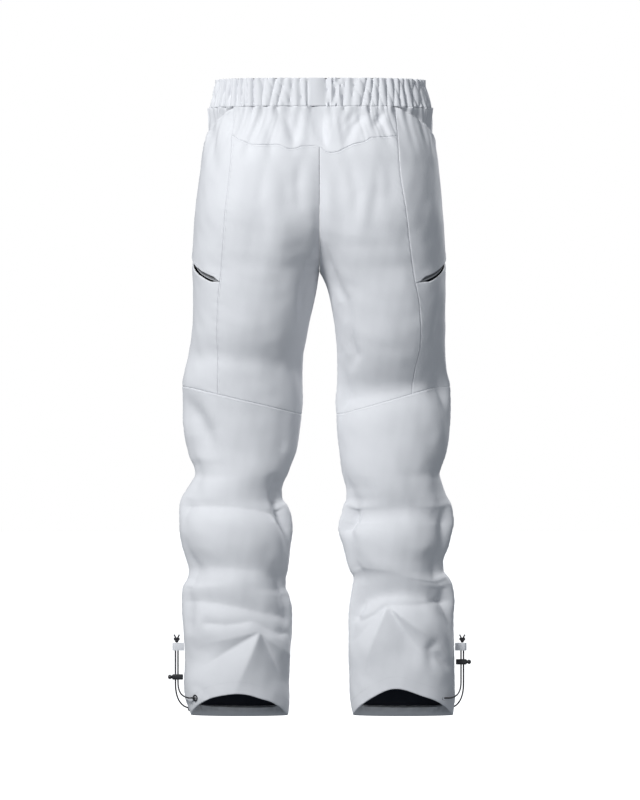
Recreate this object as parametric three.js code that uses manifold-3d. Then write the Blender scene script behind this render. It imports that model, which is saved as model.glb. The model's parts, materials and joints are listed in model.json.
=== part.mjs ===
// Ski pants at real size, as the pieces they are sewn and assembled from.
// Millimetres, +Z up. The origin is the centre of the waist opening, level with the top of
// the waistband, and the legs hang down from it. -Y is the wearer's back, +Y the front.
// The wearer's left leg is on -X, the right leg on +X.
//
// Every fabric piece is a patch of one body surface: a section at each height, with an angle
// theta round the leg that is 0 at the outer side, negative over the back and positive over
// the front. A patch has an offset from that surface, outward positive, and a thickness.
import * as THREE from 'three';
import { mergeVertices } from 'three/addons/utils/BufferGeometryUtils.js';
import Module from 'manifold-3d';

const wasm = await Module();
wasm.setup();

// ---- Driving dimensions -------------------------------------------------------------------
const OUTSEAM = 1010;        // waistband top to the lowest point of the hem
const RISE = 304;            // waistband top to the crotch
const BAND = 45;             // height of the waistband
const WAIST_WIDTH = 337;
const WAIST_DEPTH = 150;
const HIP_WIDTH = 400;
const HIP_DEPTH = 208;
const THIGH_DEPTH = 183;
const KNEE_DROP = 507;       // waistband top to the knee seam at the side
const KNEE_WIDTH = 186;
const KNEE_DEPTH = 138;
const HEM_WIDTH = 166;
const HEM_DEPTH = 120;
const HEM_ARCH = 40;         // how far the hem rises over the heel side
const HEM_FOLD = 26;         // height of the turned-up hem
const FABRIC = 1.5;          // bonded softshell with its fleece back
const LINER = 1.2;           // facings, elastic and pocket cloth
const SEAM = 0.8;            // gap left along a seam between two pieces
const LAYER = 0.4;           // gap between two layers that lie on each other
const YOKE_SIDE = 92;        // yoke seam below the waistband top, at the side panels
const YOKE_POINT = 118;      // and at the centre back
const POCKET_DROP = 95;      // hand pocket mouth below the waistband top, at the outer side
const THIGH_ZIP_DROP = 287;  // thigh zip below the waistband top, at the outer side
const THIGH_ZIP_TILT = 23.6; // degrees, rising to the front
const THIGH_ZIP_BACK = -52;  // degrees round the thigh, from the outer side
const THIGH_ZIP_FRONT = 37;
const FLY_TOP = 58;          // fly zip below the waistband top
const FLY_LENGTH = 130;
const CORD = 2.5;            // hem cord diameter
const CHANNEL = 5.2;         // clear depth of the hem channel that holds the cord
const EYELET_HOLE = 6.4;
const TAB_DROP = 897;        // cord tab below the waistband top, at its middle
const LOCK_DROP = { left: 945, right: 921 };
const STRAND_GAP = 4;        // between the two strands of the cord, centre to centre
const STRAND_X = 226;        // their middle, from the centre of the pants
const PRESS = 2;             // travel of the cord lock's plunger
const LAP = 1.1;             // gap where a curved edge is sewn flat against a panel

// ---- Materials ----------------------------------------------------------------------------
const paint = (color, roughness, metalness = 0) =>
  new THREE.MeshStandardMaterial({ color, roughness, metalness });
const shellCloth = paint(0xd9dce2, 0.85);
const liningCloth = paint(0x1b1e28, 0.95);
const meshCloth = paint(0x2a2e38, 0.95);
const elasticWeb = paint(0xe8e8e6, 0.8);
const zipTape = paint(0xcfd3da, 0.7);
const blackPlastic = paint(0x121316, 0.45);
const blackCord = paint(0x17181c, 0.9);
const springSteel = paint(0xa8aaad, 0.35, 1);
const snapMetal = paint(0x8d9094, 0.35, 1);

// ---- The body surface ---------------------------------------------------------------------
// A section is two half ellipses on each of its axes: mid is the leg's axis, out and inn the
// outer and inner reach from the centre of the pants, back and front the depths from the axis,
// lean the axis's shift forward, and side the angles of the side panel's two seams.
const HIP = HIP_WIDTH / 2;
const sections = [
  { z: 0, mid: 60, out: WAIST_WIDTH / 2, inn: -240, back: WAIST_DEPTH / 2,
    front: WAIST_DEPTH / 2, lean: 0, side: 62 },
  { z: -BAND, mid: 60, out: WAIST_WIDTH / 2 + 5, inn: -240, back: WAIST_DEPTH / 2,
    front: WAIST_DEPTH / 2, lean: 0, side: 62 },
  { z: -127, mid: 72, out: HIP - 13, inn: -148, back: HIP_DEPTH / 2 - 5,
    front: HIP_DEPTH / 2 - 16, lean: 0, side: 62 },
  { z: -203, mid: 85, out: HIP - 5, inn: -104, back: HIP_DEPTH / 2 + 5,
    front: HIP_DEPTH / 2 - 9, lean: 0, side: 62 },
  { z: 34 - RISE, mid: 97, out: HIP, inn: -28, back: THIGH_DEPTH / 2 + 7,
    front: THIGH_DEPTH / 2 - 1, lean: 0, side: 59 },
  { z: -RISE, mid: HIP / 2, out: HIP, inn: 0, back: THIGH_DEPTH / 2,
    front: THIGH_DEPTH / 2, lean: 0, side: 57 },
  { z: -28 - RISE, mid: 104, out: HIP, inn: 8, back: THIGH_DEPTH / 2 - 2,
    front: THIGH_DEPTH / 2 - 1, lean: 1, side: 57 },
  { z: -92 - RISE, mid: 110, out: HIP, inn: 21, back: 82, front: 84, lean: 4, side: 58 },
  { z: 73 - KNEE_DROP, mid: 114, out: HIP + 3, inn: 26, back: 76, front: 79, lean: 7, side: 61 },
  { z: -KNEE_DROP, mid: 26 + KNEE_WIDTH / 2, out: 26 + KNEE_WIDTH, inn: 26,
    back: KNEE_DEPTH / 2 - 4, front: KNEE_DEPTH / 2 + 4, lean: 12, side: 68 },
  { z: -53 - KNEE_DROP, mid: 120, out: 210, inn: 30, back: 63, front: 70, lean: 12, side: 68 },
  { z: -113 - KNEE_DROP, mid: 119.5, out: 197, inn: 42, back: 61, front: 64, lean: 7, side: 68 },
  { z: -193 - KNEE_DROP, mid: 126.5, out: 217, inn: 36, back: 67, front: 60, lean: -2, side: 68 },
  { z: -269 - KNEE_DROP, mid: 124.5, out: 201, inn: 48, back: 64, front: 58, lean: -4, side: 68 },
  { z: 160 - OUTSEAM, mid: 130, out: 215, inn: 45, back: 62, front: 60, lean: -5, side: 68 },
  { z: 60 - OUTSEAM, mid: 47.5 + HEM_WIDTH / 2, out: 47.5 + HEM_WIDTH, inn: 47.5,
    back: HEM_DEPTH / 2, front: HEM_DEPTH / 2, lean: -5, side: 68 },
  { z: -OUTSEAM, mid: 47.5 + HEM_WIDTH / 2, out: 47.5 + HEM_WIDTH, inn: 47.5,
    back: HEM_DEPTH / 2, front: HEM_DEPTH / 2, lean: -5, side: 68 },
];

// One smooth value down the heights, with no overshoot between two equal ones.
function profile(name, z) {
  const last = sections.length - 1;
  let i = 0;
  while (i < last - 1 && z < sections[i + 1].z) i += 1;
  const slope = (k) => {
    if (k <= 0 || k >= last) return 0;
    const before = (sections[k][name] - sections[k - 1][name]) / (sections[k].z - sections[k - 1].z);
    const after = (sections[k + 1][name] - sections[k][name]) / (sections[k + 1].z - sections[k].z);
    return before * after <= 0 ? 0 : (2 * before * after) / (before + after);
  };
  const a = sections[i];
  const b = sections[i + 1];
  const step = b.z - a.z;
  const t = THREE.MathUtils.clamp((z - a.z) / step, 0, 1);
  const t2 = t * t;
  const t3 = t2 * t;
  return a[name] * (2 * t3 - 3 * t2 + 1) + slope(i) * step * (t3 - 2 * t2 + t)
    + b[name] * (3 * t2 - 2 * t3) + slope(i + 1) * step * (t3 - t2);
}

const rad = THREE.MathUtils.degToRad;

// The largest angle: where the section reaches the middle of the pants, or the inseam.
function centreAngle(z, gap = SEAM / 2) {
  const mid = profile('mid', z);
  const inn = profile('inn', z);
  if (inn >= gap) return Math.PI;
  return Math.acos((gap - mid) / (mid - inn));
}

function surface(side, theta, z) {
  const mid = profile('mid', z);
  const reach = Math.cos(theta) > 0 ? profile('out', z) - mid : mid - profile('inn', z);
  const depth = Math.sin(theta) < 0 ? profile('back', z) : profile('front', z);
  const x = mid + reach * Math.cos(theta);
  return new THREE.Vector3(side * x, profile('lean', z) + depth * Math.sin(theta), z);
}

function outward(side, theta, z) {
  const round = surface(side, theta + 0.01, z).sub(surface(side, theta - 0.01, z));
  const up = surface(side, theta, z + 1).sub(surface(side, theta, z - 1));
  return round.cross(up).multiplyScalar(side).normalize();
}

function place(side, theta, z, offset = 0) {
  return surface(side, theta, z).addScaledVector(outward(side, theta, z), offset);
}

// ---- Seam lines ---------------------------------------------------------------------------
const mix = THREE.MathUtils.lerp;
const seamAngle = (z) => rad(profile('side', z));
const frontSeamAngle = (z) => rad(profile('side', z) - 7);
const seamTurn = SEAM / 2 / 85;      // half a seam's gap, as an angle round the leg

function yokeSeam(theta) {
  const x = surface(1, theta, -YOKE_SIDE).x;
  const sideX = surface(1, -seamAngle(-YOKE_SIDE), -YOKE_SIDE).x;
  return -mix(YOKE_POINT, YOKE_SIDE, THREE.MathUtils.clamp(Math.abs(x) / sideX, 0, 1));
}
const kneeSeam = (theta) => -KNEE_DROP + 22 * Math.cos(theta);
const hemEdge = (theta) => 5 - OUTSEAM + (HEM_ARCH - 5) * Math.max(0, -Math.sin(theta)) ** 1.5
  - 5 * Math.max(0, Math.sin(theta));
function pocketMouth(theta) {
  const start = -seamAngle(-BAND);
  return -BAND - SEAM - (POCKET_DROP - BAND) * Math.max(0, (theta - start) / -start);
}

// ---- Building closed meshes ---------------------------------------------------------------
function closedMesh(points, triangles) {
  const geometry = new THREE.BufferGeometry().setFromPoints(points);
  let volume = 0;
  triangles.forEach(([a, b, c]) => {
    volume += points[a].dot(points[b].clone().cross(points[c]));
  });
  const turned = volume < 0 ? triangles.map(([a, b, c]) => [a, c, b]) : triangles;
  geometry.setIndex(turned.flat());
  geometry.computeVertexNormals();
  return geometry;
}

// A sheet of cloth: point(u, v, depth) is on its outer face at depth 0 and on its inner face
// at depth 1. us and vs are the rows' own places, and a ring joins its last column to its first.
function sheet(point, us, vs, ring = false) {
  const columns = us.length;
  const points = [];
  [0, 1].forEach((depth) => vs.forEach((v) => us.forEach((u) => points.push(point(u, v, depth)))));
  const at = (depth, row, column) => (depth * vs.length + row) * columns + (column % columns);
  const triangles = [];
  const quad = (a, b, c, d) => triangles.push([a, b, c], [a, c, d]);
  const across = ring ? columns : columns - 1;
  for (let i = 0; i < across; i += 1) {
    for (let j = 0; j < vs.length - 1; j += 1) {
      quad(at(0, j, i), at(0, j + 1, i), at(0, j + 1, i + 1), at(0, j, i + 1));
      quad(at(1, j, i), at(1, j, i + 1), at(1, j + 1, i + 1), at(1, j + 1, i));
    }
    const end = vs.length - 1;
    quad(at(0, 0, i), at(0, 0, i + 1), at(1, 0, i + 1), at(1, 0, i));
    quad(at(0, end, i), at(1, end, i), at(1, end, i + 1), at(0, end, i + 1));
  }
  if (!ring) {
    for (let j = 0; j < vs.length - 1; j += 1) {
      quad(at(0, j, 0), at(1, j, 0), at(1, j + 1, 0), at(0, j + 1, 0));
      const end = columns - 1;
      quad(at(0, j, end), at(0, j + 1, end), at(1, j + 1, end), at(1, j, end));
    }
  }
  return closedMesh(points, triangles);
}

const steps = (count, from = 0, to = 1) =>
  Array.from({ length: count + 1 }, (_, i) => mix(from, to, i / count));

function toSolid(geometry) {
  const plain = geometry.clone();
  plain.deleteAttribute('normal');
  plain.deleteAttribute('uv');
  const merged = mergeVertices(plain, 1e-4);
  return new wasm.Manifold(new wasm.Mesh({
    numProp: 3,
    vertProperties: new Float32Array(merged.attributes.position.array),
    triVerts: new Uint32Array(merged.index.array),
  }));
}

function toGeometry(solid) {
  const mesh = solid.getMesh();
  const geometry = new THREE.BufferGeometry();
  geometry.setAttribute('position', new THREE.BufferAttribute(mesh.vertProperties.slice(), 3));
  geometry.setIndex(new THREE.BufferAttribute(mesh.triVerts.slice(), 1));
  geometry.computeVertexNormals();
  return geometry;
}

const join = (...shapes) => toGeometry(shapes.map(toSolid).reduce((a, b) => a.add(b)));
const cut = (shape, ...tools) =>
  toGeometry(tools.map(toSolid).reduce((a, b) => a.subtract(b), toSolid(shape)));

function box(x0, x1, y0, y1, z0, z1) {
  const shape = new THREE.BoxGeometry(x1 - x0, y1 - y0, z1 - z0);
  return shape.translate((x0 + x1) / 2, (y0 + y1) / 2, (z0 + z1) / 2);
}

// A round bar along X, Y or Z from one place to another.
function bar(axis, radius, from, to, sides = 20) {
  const shape = new THREE.CylinderGeometry(radius, radius, to - from, sides);
  shape.translate(0, (from + to) / 2, 0);
  if (axis === 'x') shape.rotateZ(-Math.PI / 2);
  if (axis === 'z') shape.rotateX(Math.PI / 2);
  return shape;
}

// A turned piece: its outline is [radius, height] pairs, anticlockwise, and its axis is Y.
function turned(outline, sides = 24) {
  let area = 0;
  outline.forEach(([r, h], i) => {
    const [r2, h2] = outline[(i + 1) % outline.length];
    area += r * h2 - r2 * h;
  });
  const path = area < 0 ? [...outline].reverse() : outline;
  return new THREE.LatheGeometry(path.map(([r, h]) => new THREE.Vector2(r, h)), sides);
}

// The frame of a place on the surface or a track: X across, Y outward, Z along the travel.
const frameOf = (across, out, along, origin) =>
  new THREE.Matrix4().makeBasis(across, out, along).setPosition(origin);

// An outline swept through a row of frames, with flat ends.
function loft(outline, frames) {
  const shape = outline.map(([x, y]) => new THREE.Vector2(x, y));
  const points = frames.flatMap((frame) =>
    shape.map((p) => new THREE.Vector3(p.x, p.y, 0).applyMatrix4(frame)));
  const n = shape.length;
  const triangles = [];
  for (let i = 0; i < frames.length - 1; i += 1) {
    for (let j = 0; j < n; j += 1) {
      const k = (j + 1) % n;
      triangles.push([i * n + j, i * n + k, (i + 1) * n + k]);
      triangles.push([i * n + j, (i + 1) * n + k, (i + 1) * n + j]);
    }
  }
  const last = (frames.length - 1) * n;
  THREE.ShapeUtils.triangulateShape(shape, []).forEach(([a, b, c]) => {
    triangles.push([a, c, b], [last + a, last + b, last + c]);
  });
  return closedMesh(points, triangles);
}

const pants = new THREE.Group();

function add(name, geometry, material, frame = null) {
  const mesh = new THREE.Mesh(geometry, material);
  mesh.name = name;
  if (frame) mesh.applyMatrix4(frame);
  pants.add(mesh);
  return mesh;
}

// ---- Fabric panels ------------------------------------------------------------------------
// A panel between two seam angles and two seam heights. Rows keep their own levels, except
// near the top and bottom, where they follow the seams.
function panel(side, from, to, top, bottom, levels, columns) {
  const first = levels[0];
  const last = levels[levels.length - 1];
  const height = (theta, level) => {
    const nearTop = THREE.MathUtils.clamp(1 - (first - level) / 90, 0, 1);
    const nearBottom = THREE.MathUtils.clamp(1 - (level - last) / 90, 0, 1);
    return level + (top(theta) - first) * nearTop + (bottom(theta) - last) * nearBottom;
  };
  const point = (u, level, depth) => {
    let z = level;
    let theta = 0;
    for (let i = 0; i < 6; i += 1) {
      theta = mix(from(z), to(z), u);
      z = height(theta, level);
    }
    return place(side, theta, z, -depth * FABRIC);
  };
  return sheet(point, steps(columns), levels);
}

const seatLevels = [-165, -203, -237];
const crotchLevels = [34 - RISE, 16 - RISE, 4 - RISE, -3 - RISE, -28 - RISE];
const thighLevels = [-60 - RISE, -92 - RISE, 73 - KNEE_DROP, 36 - KNEE_DROP];
const shinLevels = [0, 40, 80, 113, 150, 193, 235, 269, 320, 380, 437, 487]
  .map((drop) => -drop - KNEE_DROP);

const backCentre = (z) => -centreAngle(z) + seamTurn * (centreAngle(z) === Math.PI);
const frontCentre = (z) => centreAngle(z) - seamTurn * (centreAngle(z) === Math.PI);
const below = (seam) => (theta) => seam(theta) - SEAM / 2;
const above = (seam) => (theta) => seam(theta) + SEAM / 2;

function seatPanel(side) {
  const levels = [-105, ...seatLevels, ...crotchLevels, ...thighLevels, -KNEE_DROP];
  return panel(side, backCentre, (z) => -seamAngle(z) - seamTurn, below(yokeSeam), above(kneeSeam),
    levels, 9);
}

function frontPanel(side) {
  const levels = [-BAND - SEAM, -90, -127, ...seatLevels, ...crotchLevels, ...thighLevels,
    -KNEE_DROP];
  const shape = panel(side, (z) => frontSeamAngle(z) + seamTurn, frontCentre,
    () => -BAND - SEAM, above(kneeSeam), levels, 9);
  return cut(shape, flyOpening());
}

function sidePanel(side) {
  const levels = [-POCKET_DROP, -127, ...seatLevels, 34 - RISE, -RISE, -28 - RISE, ...thighLevels,
    -KNEE_DROP];
  const shape = panel(side, (z) => -seamAngle(z) + seamTurn, (z) => frontSeamAngle(z) - seamTurn,
    pocketMouth, above(kneeSeam), levels, 10);
  return cut(shape, thighZipOpening(side));
}

function lowerPanel(side, back) {
  const from = back ? () => -Math.PI + seamTurn : () => seamTurn;
  const to = back ? () => -seamTurn : () => Math.PI - seamTurn;
  const shape = panel(side, from, to, below(kneeSeam), hemEdge, shinLevels, 12);
  return cut(shape, eyeletPunch(side, back ? 'back' : 'front'));
}

// A patch whose rows are spread evenly between its two edges.
function patch(side, from, to, top, bottom, us, vs, offset, thick) {
  const point = (u, v, depth) => {
    let z = top(0);
    let theta = 0;
    for (let i = 0; i < 6; i += 1) {
      theta = mix(from(z), to(z), u);
      z = mix(top(theta), bottom(theta), v);
    }
    return place(side, theta, z, offset(u, v) - depth * thick);
  };
  return sheet(point, us, vs);
}

// Pieces that cross the centre back: w runs from -1 on the left to +1 on the right.
function across(endAngle, levels, top, bottom, columns, outer, thick) {
  const point = (w, level, depth) => {
    const side = w < 0 ? -1 : 1;
    let z = level;
    let theta = 0;
    for (let i = 0; i < 6; i += 1) {
      theta = mix(-centreAngle(z, 0), endAngle(z), Math.abs(w));
      const share = (level - levels[0]) / (levels[levels.length - 1] - levels[0]);
      z = mix(top(theta), bottom(theta), share);
    }
    return place(side, theta, z, outer - depth * thick);
  };
  return sheet(point, columns, levels);
}

function backYoke() {
  return across((z) => -seamAngle(z) - seamTurn, [-BAND - SEAM, -80, -105], () => -BAND - SEAM,
    above(yokeSeam), steps(14, -1, 1), 0, FABRIC);
}

// ---- Waistband ----------------------------------------------------------------------------
const PATCH = 38;            // width of the flat patch at the centre back
const LINING_OFFSET = -FABRIC - 2 * LAYER - LINER;

// Every layer of the band has the same columns. short leaves that many off at each front end.
function bandPiece(top, bottom, outer, thick, short = 0) {
  const end = centreAngle(0, 1);
  const whole = centreAngle(0, 0);
  const right = steps(15, (whole - centreAngle(0, PATCH / 2)) / (whole + end), 1);
  const half = short ? right.slice(0, -short) : right;
  const columns = [...half.map((w) => -w).reverse(), ...half];
  return across(() => end, [top, bottom], () => top, () => bottom, columns, outer, thick);
}

function waistbandOuter() {
  const shape = bandPiece(0, -BAND, 0, FABRIC);
  return cut(shape, bar('y', SNAP_POST + 0.3, -4, 4).applyMatrix4(snapFrame()));
}

// ---- Pockets ------------------------------------------------------------------------------
// Cloth behind a mouth: a tray that hangs clear of the panel, with its rim on the panel.
function tray(side, from, to, top, bottom, rim, depth) {
  const us = [0, ...steps(4, 0.12, 0.88), 1];
  const edge = (u, v) => Math.min(1, Math.min(u, 1 - u, v, 1 - v) / 0.12);
  return patch(side, () => rad(from), () => rad(to), top, bottom, us, us,
    (u, v) => mix(rim, depth, edge(u, v)), LINER);
}

const FACING_OFFSET = -FABRIC - LAYER;
const RIM_OFFSET = -FABRIC - LAP;
const facingEdge = (theta) => pocketMouth(theta) - 22;

function hipFacing(side) {
  return patch(side, (z) => -seamAngle(z) + seamTurn, (z) => frontSeamAngle(z) - seamTurn,
    () => -BAND - SEAM, facingEdge, steps(10), [0, 0.5, 1], () => -FABRIC - LAP, FABRIC);
}

// ---- Zips ---------------------------------------------------------------------------------
// Seen along the track: the tape's underside is at Y 0, the coil stands on it, and a narrow
// gap between the two halves takes the slider's web.
const TAPE = 0.8;
const FLY_TAPE = 8;          // half the width of the fly's tapes
const THIGH_TAPE = 5;        // and of the thigh zips'
const COIL_HALF = 2.2;
const COIL_TOP = 2;
const CHAIN_GAP = 0.6;       // half the gap between the two halves
const SLIDER_HALF = 3.5;
const SLIDER_LENGTH = 9;
const CLEAR = 0.3;
const SLOT_HALF = SLIDER_HALF + 0.7;
const PLATE = 1;
const PLATE_TOP = COIL_TOP + CLEAR + PLATE;
const PULL_AXIS = PLATE_TOP + 0.95;
const PULL_LENGTH = 24;

function chainHalf(sign, width) {
  const half = [[CHAIN_GAP, 0], [width, 0], [width, TAPE], [COIL_HALF, TAPE],
    [COIL_HALF - 0.3, COIL_TOP], [CHAIN_GAP, COIL_TOP]];
  return sign > 0 ? half : half.map(([x, y]) => [-x, y]).reverse();
}

function sliderShape() {
  const half = SLIDER_LENGTH / 2;
  const top = box(-SLIDER_HALF, SLIDER_HALF, COIL_TOP + CLEAR, PLATE_TOP, -half, half);
  const wall = COIL_HALF + 0.4;
  const low = TAPE + CLEAR;
  const flange = (sign) => box(...[sign * wall, sign * SLIDER_HALF].sort((a, b) => a - b),
    low, COIL_TOP + 0.5, -half, half);
  const web = box(-0.3, 0.3, -0.8, COIL_TOP + 0.5, -half, half);
  const bottom = box(-3, 3, -CLEAR - PLATE, -CLEAR, -half, half);
  const bridge = new THREE.Shape();
  bridge.moveTo(1.8, PLATE_TOP - 0.3);
  bridge.lineTo(1.8, PULL_AXIS);
  bridge.absarc(0, PULL_AXIS, 1.8, 0, Math.PI, false);
  bridge.lineTo(-1.8, PLATE_TOP - 0.3);
  bridge.lineTo(-0.95, PLATE_TOP - 0.3);
  bridge.lineTo(-0.95, PULL_AXIS);
  bridge.absarc(0, PULL_AXIS, 0.95, Math.PI, 0, true);
  bridge.lineTo(0.95, PLATE_TOP - 0.3);
  const arch = new THREE.ExtrudeGeometry(bridge, { depth: 1.8, bevelEnabled: false,
    curveSegments: 5 });
  arch.translate(0, 0, -0.9).rotateY(Math.PI / 2);
  return join(top, flange(1), flange(-1), web, bottom, arch);
}

// The pull's own axis is its eye bar, along X, and it lies towards -Z.
function pullShape() {
  const eye = bar('x', 0.6, -2.2, 2.2, 12);
  const arm = (sign) => box(...[sign * 1.3, sign * 2.2].sort((a, b) => a - b), -0.6, 0.6, -4, 0);
  const plate = new THREE.Shape();
  plate.moveTo(-2.2, 3.4);
  plate.lineTo(2.2, 3.4);
  plate.lineTo(3.2, 7);
  plate.lineTo(3.2, PULL_LENGTH - 3.2);
  plate.absarc(0, PULL_LENGTH - 3.2, 3.2, 0, Math.PI, false);
  plate.lineTo(-3.2, 7);
  const leaf = new THREE.ExtrudeGeometry(plate, { depth: 1.2, bevelEnabled: false,
    curveSegments: 10 });
  leaf.translate(0, 0, -0.6).rotateX(-Math.PI / 2);
  return join(eye, arm(1), arm(-1), leaf);
}

// The thigh zip is an arc about a tilted axis through the leg.
const TILT = rad(THIGH_ZIP_TILT);
const ZIP_SINK = 2.7;        // how much deeper than the panel's back the tape lies
const THIGH_ARC = HIP / 2 - FABRIC - LAYER - TAPE - ZIP_SINK;

function thighZipFrame(side, degrees, radius = THIGH_ARC) {
  const angle = rad(degrees);
  const out = new THREE.Vector3(side * Math.cos(angle), Math.sin(angle) * Math.cos(TILT),
    Math.sin(angle) * Math.sin(TILT));
  const along = new THREE.Vector3(-side * Math.sin(angle), Math.cos(angle) * Math.cos(TILT),
    Math.cos(angle) * Math.sin(TILT));
  const width = out.clone().cross(along);
  const centre = new THREE.Vector3(side * HIP / 2, 0, -THIGH_ZIP_DROP);
  return frameOf(width, out, along, centre.addScaledVector(out, radius));
}

function thighZipFrames(side, from, to, count, radius) {
  return steps(count, from, to).map((degrees) => thighZipFrame(side, degrees, radius));
}

function thighZipOpening(side) {
  const outline = [[-SLOT_HALF, -9], [SLOT_HALF, -9], [SLOT_HALF, 12], [-SLOT_HALF, 12]];
  return loft(outline, thighZipFrames(side, THIGH_ZIP_BACK, THIGH_ZIP_FRONT + 2, 12, THIGH_ARC));
}

function thighPocket(side, label) {
  const chain = thighZipFrames(side, THIGH_ZIP_BACK - 2, THIGH_ZIP_FRONT + 4, 16, THIGH_ARC);
  add(`${label}_thigh_zip_upper_tape`, loft(chainHalf(side, THIGH_TAPE), chain), zipTape);
  add(`${label}_thigh_zip_lower_tape`, loft(chainHalf(-side, THIGH_TAPE), chain), zipTape);
  const parked = thighZipFrame(side, THIGH_ZIP_FRONT - 4);
  add(`${label}_thigh_zip_slider`, sliderShape(), blackPlastic, parked);
  const pull = parked.clone().multiply(new THREE.Matrix4().makeTranslation(0, PULL_AXIS, 0));
  add(`${label}_thigh_zip_pull`, pullShape(), blackPlastic, pull);
  const bag = tray(side, -68, 56, () => -242, () => -425, RIM_OFFSET, -14);
  add(`${label}_thigh_pocket_bag`, bag, meshCloth);
}

// The fly zip is straight, down the centre front.
const FLY_SINK = 2.2;
function flyFrame(drop) {
  const sink = -FABRIC - LAYER - TAPE - FLY_SINK;
  const point = (d) => new THREE.Vector3(0, surface(1, centreAngle(-d, 0), -d).y + sink, -d);
  const up = point(FLY_TOP).sub(point(FLY_TOP + FLY_LENGTH)).normalize();
  const width = new THREE.Vector3(1, 0, 0);
  const out = up.clone().cross(width);
  return frameOf(width, out, up, point(FLY_TOP).addScaledVector(up, FLY_TOP - drop));
}

function flyOpening() {
  const outline = [[-SLOT_HALF, -9], [SLOT_HALF, -9], [SLOT_HALF, 14], [-SLOT_HALF, 14]];
  return loft(outline, [flyFrame(FLY_TOP + FLY_LENGTH + 3), flyFrame(FLY_TOP - 40)]);
}

function fly() {
  const ends = [flyFrame(FLY_TOP + FLY_LENGTH + 2), flyFrame(FLY_TOP - 6)];
  add('fly_zip_left_tape', loft(chainHalf(-1, FLY_TAPE), ends), zipTape);
  add('fly_zip_right_tape', loft(chainHalf(1, FLY_TAPE), ends), zipTape);
  const parked = flyFrame(FLY_TOP + SLIDER_LENGTH / 2);
  add('fly_zip_slider', sliderShape(), blackPlastic, parked);
  const pull = parked.clone().multiply(new THREE.Matrix4().makeTranslation(0, PULL_AXIS, 0));
  add('fly_zip_pull', pullShape(), blackPlastic, pull);
  add('fly_shield', flyShield(), liningCloth);
}

// A guard of lining cloth behind the zip, sewn to the left front along one edge.
function flyShield() {
  const rows = [-BAND - SEAM, -90, -127, -165, -FLY_TOP - FLY_LENGTH - 8];
  const point = (x, z, depth) => {
    const theta = centreAngle(z, Math.abs(x));
    const sewn = THREE.MathUtils.clamp((-x - 13) / 9, 0, 1);
    const offset = mix(-11, RIM_OFFSET, sewn) - depth * LINER;
    return place(x < 0 ? -1 : 1, theta, z, offset);
  };
  return sheet(point, [-30, -22, -13, 0, 12, 22], rows);
}

// ---- Waist tab and snap -------------------------------------------------------------------
const TAB_LIFT = 3.4;        // the tab's back face stands this far off the waistband
const SNAP_POST = 1.3;
const SNAP_X = 15;

function frontBandFrame(x, z, offset) {
  const theta = centreAngle(z, x);
  const out = outward(1, theta, z).setZ(0).normalize();
  const along = new THREE.Vector3(0, 0, 1);
  return frameOf(out.clone().cross(along), out, along, place(1, theta, z, offset));
}
const snapFrame = () => frontBandFrame(SNAP_X, -BAND / 2, 0);

function waistTab() {
  const point = (x, z, depth) => {
    const theta = centreAngle(z, Math.abs(x));
    const lift = mix(TAB_LIFT, LAYER, THREE.MathUtils.clamp((-x - 18) / 8, 0, 1));
    return place(x < 0 ? -1 : 1, theta, z, lift + (1 - depth) * FABRIC);
  };
  const shape = sheet(point, [-36, -26, -18, -8, 0, 9, 18, 28], [-6, 6 - BAND]);
  return cut(shape, bar('y', SNAP_POST + 0.3, 0, 9).applyMatrix4(snapFrame()));
}

function snap() {
  const outer = TAB_LIFT + FABRIC;
  const cap = join(
    turned([[0, outer + 0.3], [7, outer + 0.3], [7.3, outer + 1], [5.6, outer + 2], [0, outer + 2.3]]),
    bar('y', SNAP_POST, 2.6, outer + 0.5),
  );
  add('snap_cap', cap, snapMetal, snapFrame());
  const socket = turned([[SNAP_POST + 0.3, 2.9], [5.4, 2.9], [5.4, 1.6], [2.6, 1.3], [2.6, 2.3],
    [SNAP_POST + 0.3, 2.3], [SNAP_POST + 0.3, 2.9]]);
  add('snap_socket', socket, snapMetal, snapFrame());
  const stud = turned([[0, 0.3], [5, 0.3], [5, 0.9], [2.2, 0.9], [2.2, 1.9], [0, 1.9]]);
  add('snap_stud', stud, snapMetal, snapFrame());
  const post = join(turned([[0, -2.6], [4.6, -2.6], [4.6, -1.9], [0, -1.9]]),
    bar('y', SNAP_POST, -2.2, 0));
  add('snap_post', post, snapMetal, snapFrame());
}

// ---- Hem: facing, eyelets, cord, tab and cord lock ----------------------------------------
const CHANNEL_BACK = -FABRIC - CHANNEL;
const EYELET_ANGLE = { back: -38, front: 25 };
const EYELET_RISE = 12;      // above the hem edge

function hemFacing(side) {
  const rows = [[0.5, FACING_OFFSET], [4.5, CHANNEL_BACK], [HEM_FOLD - 5, CHANNEL_BACK],
    [HEM_FOLD, FACING_OFFSET]];
  const point = (theta, row, depth) =>
    place(side, theta, hemEdge(theta) + rows[row][0], rows[row][1] - depth * LINER);
  return sheet(point, steps(23, -Math.PI, Math.PI * 11 / 12), [0, 1, 2, 3], true);
}

function eyeletFrame(side, which) {
  const theta = rad(EYELET_ANGLE[which]);
  const z = hemEdge(theta) + EYELET_RISE;
  const out = outward(side, theta, z).setZ(0).normalize();
  const along = new THREE.Vector3(0, 0, 1);
  return frameOf(out.clone().cross(along), out, along, place(side, theta, z));
}

function eyeletPunch(side, which) {
  return bar('y', EYELET_HOLE / 2 + 1.1, -8, 8, 24).applyMatrix4(eyeletFrame(side, which));
}

function eyeletShape() {
  const hole = EYELET_HOLE / 2;
  const end = -FABRIC - 0.1;
  return turned([[hole, 0.7], [hole + 0.8, 0.8], [hole + 2.2, 0.55], [hole + 2.2, 0.3],
    [hole + 0.8, 0.3], [hole + 0.8, end], [hole, end], [hole, 0.7]], 16);
}

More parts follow.
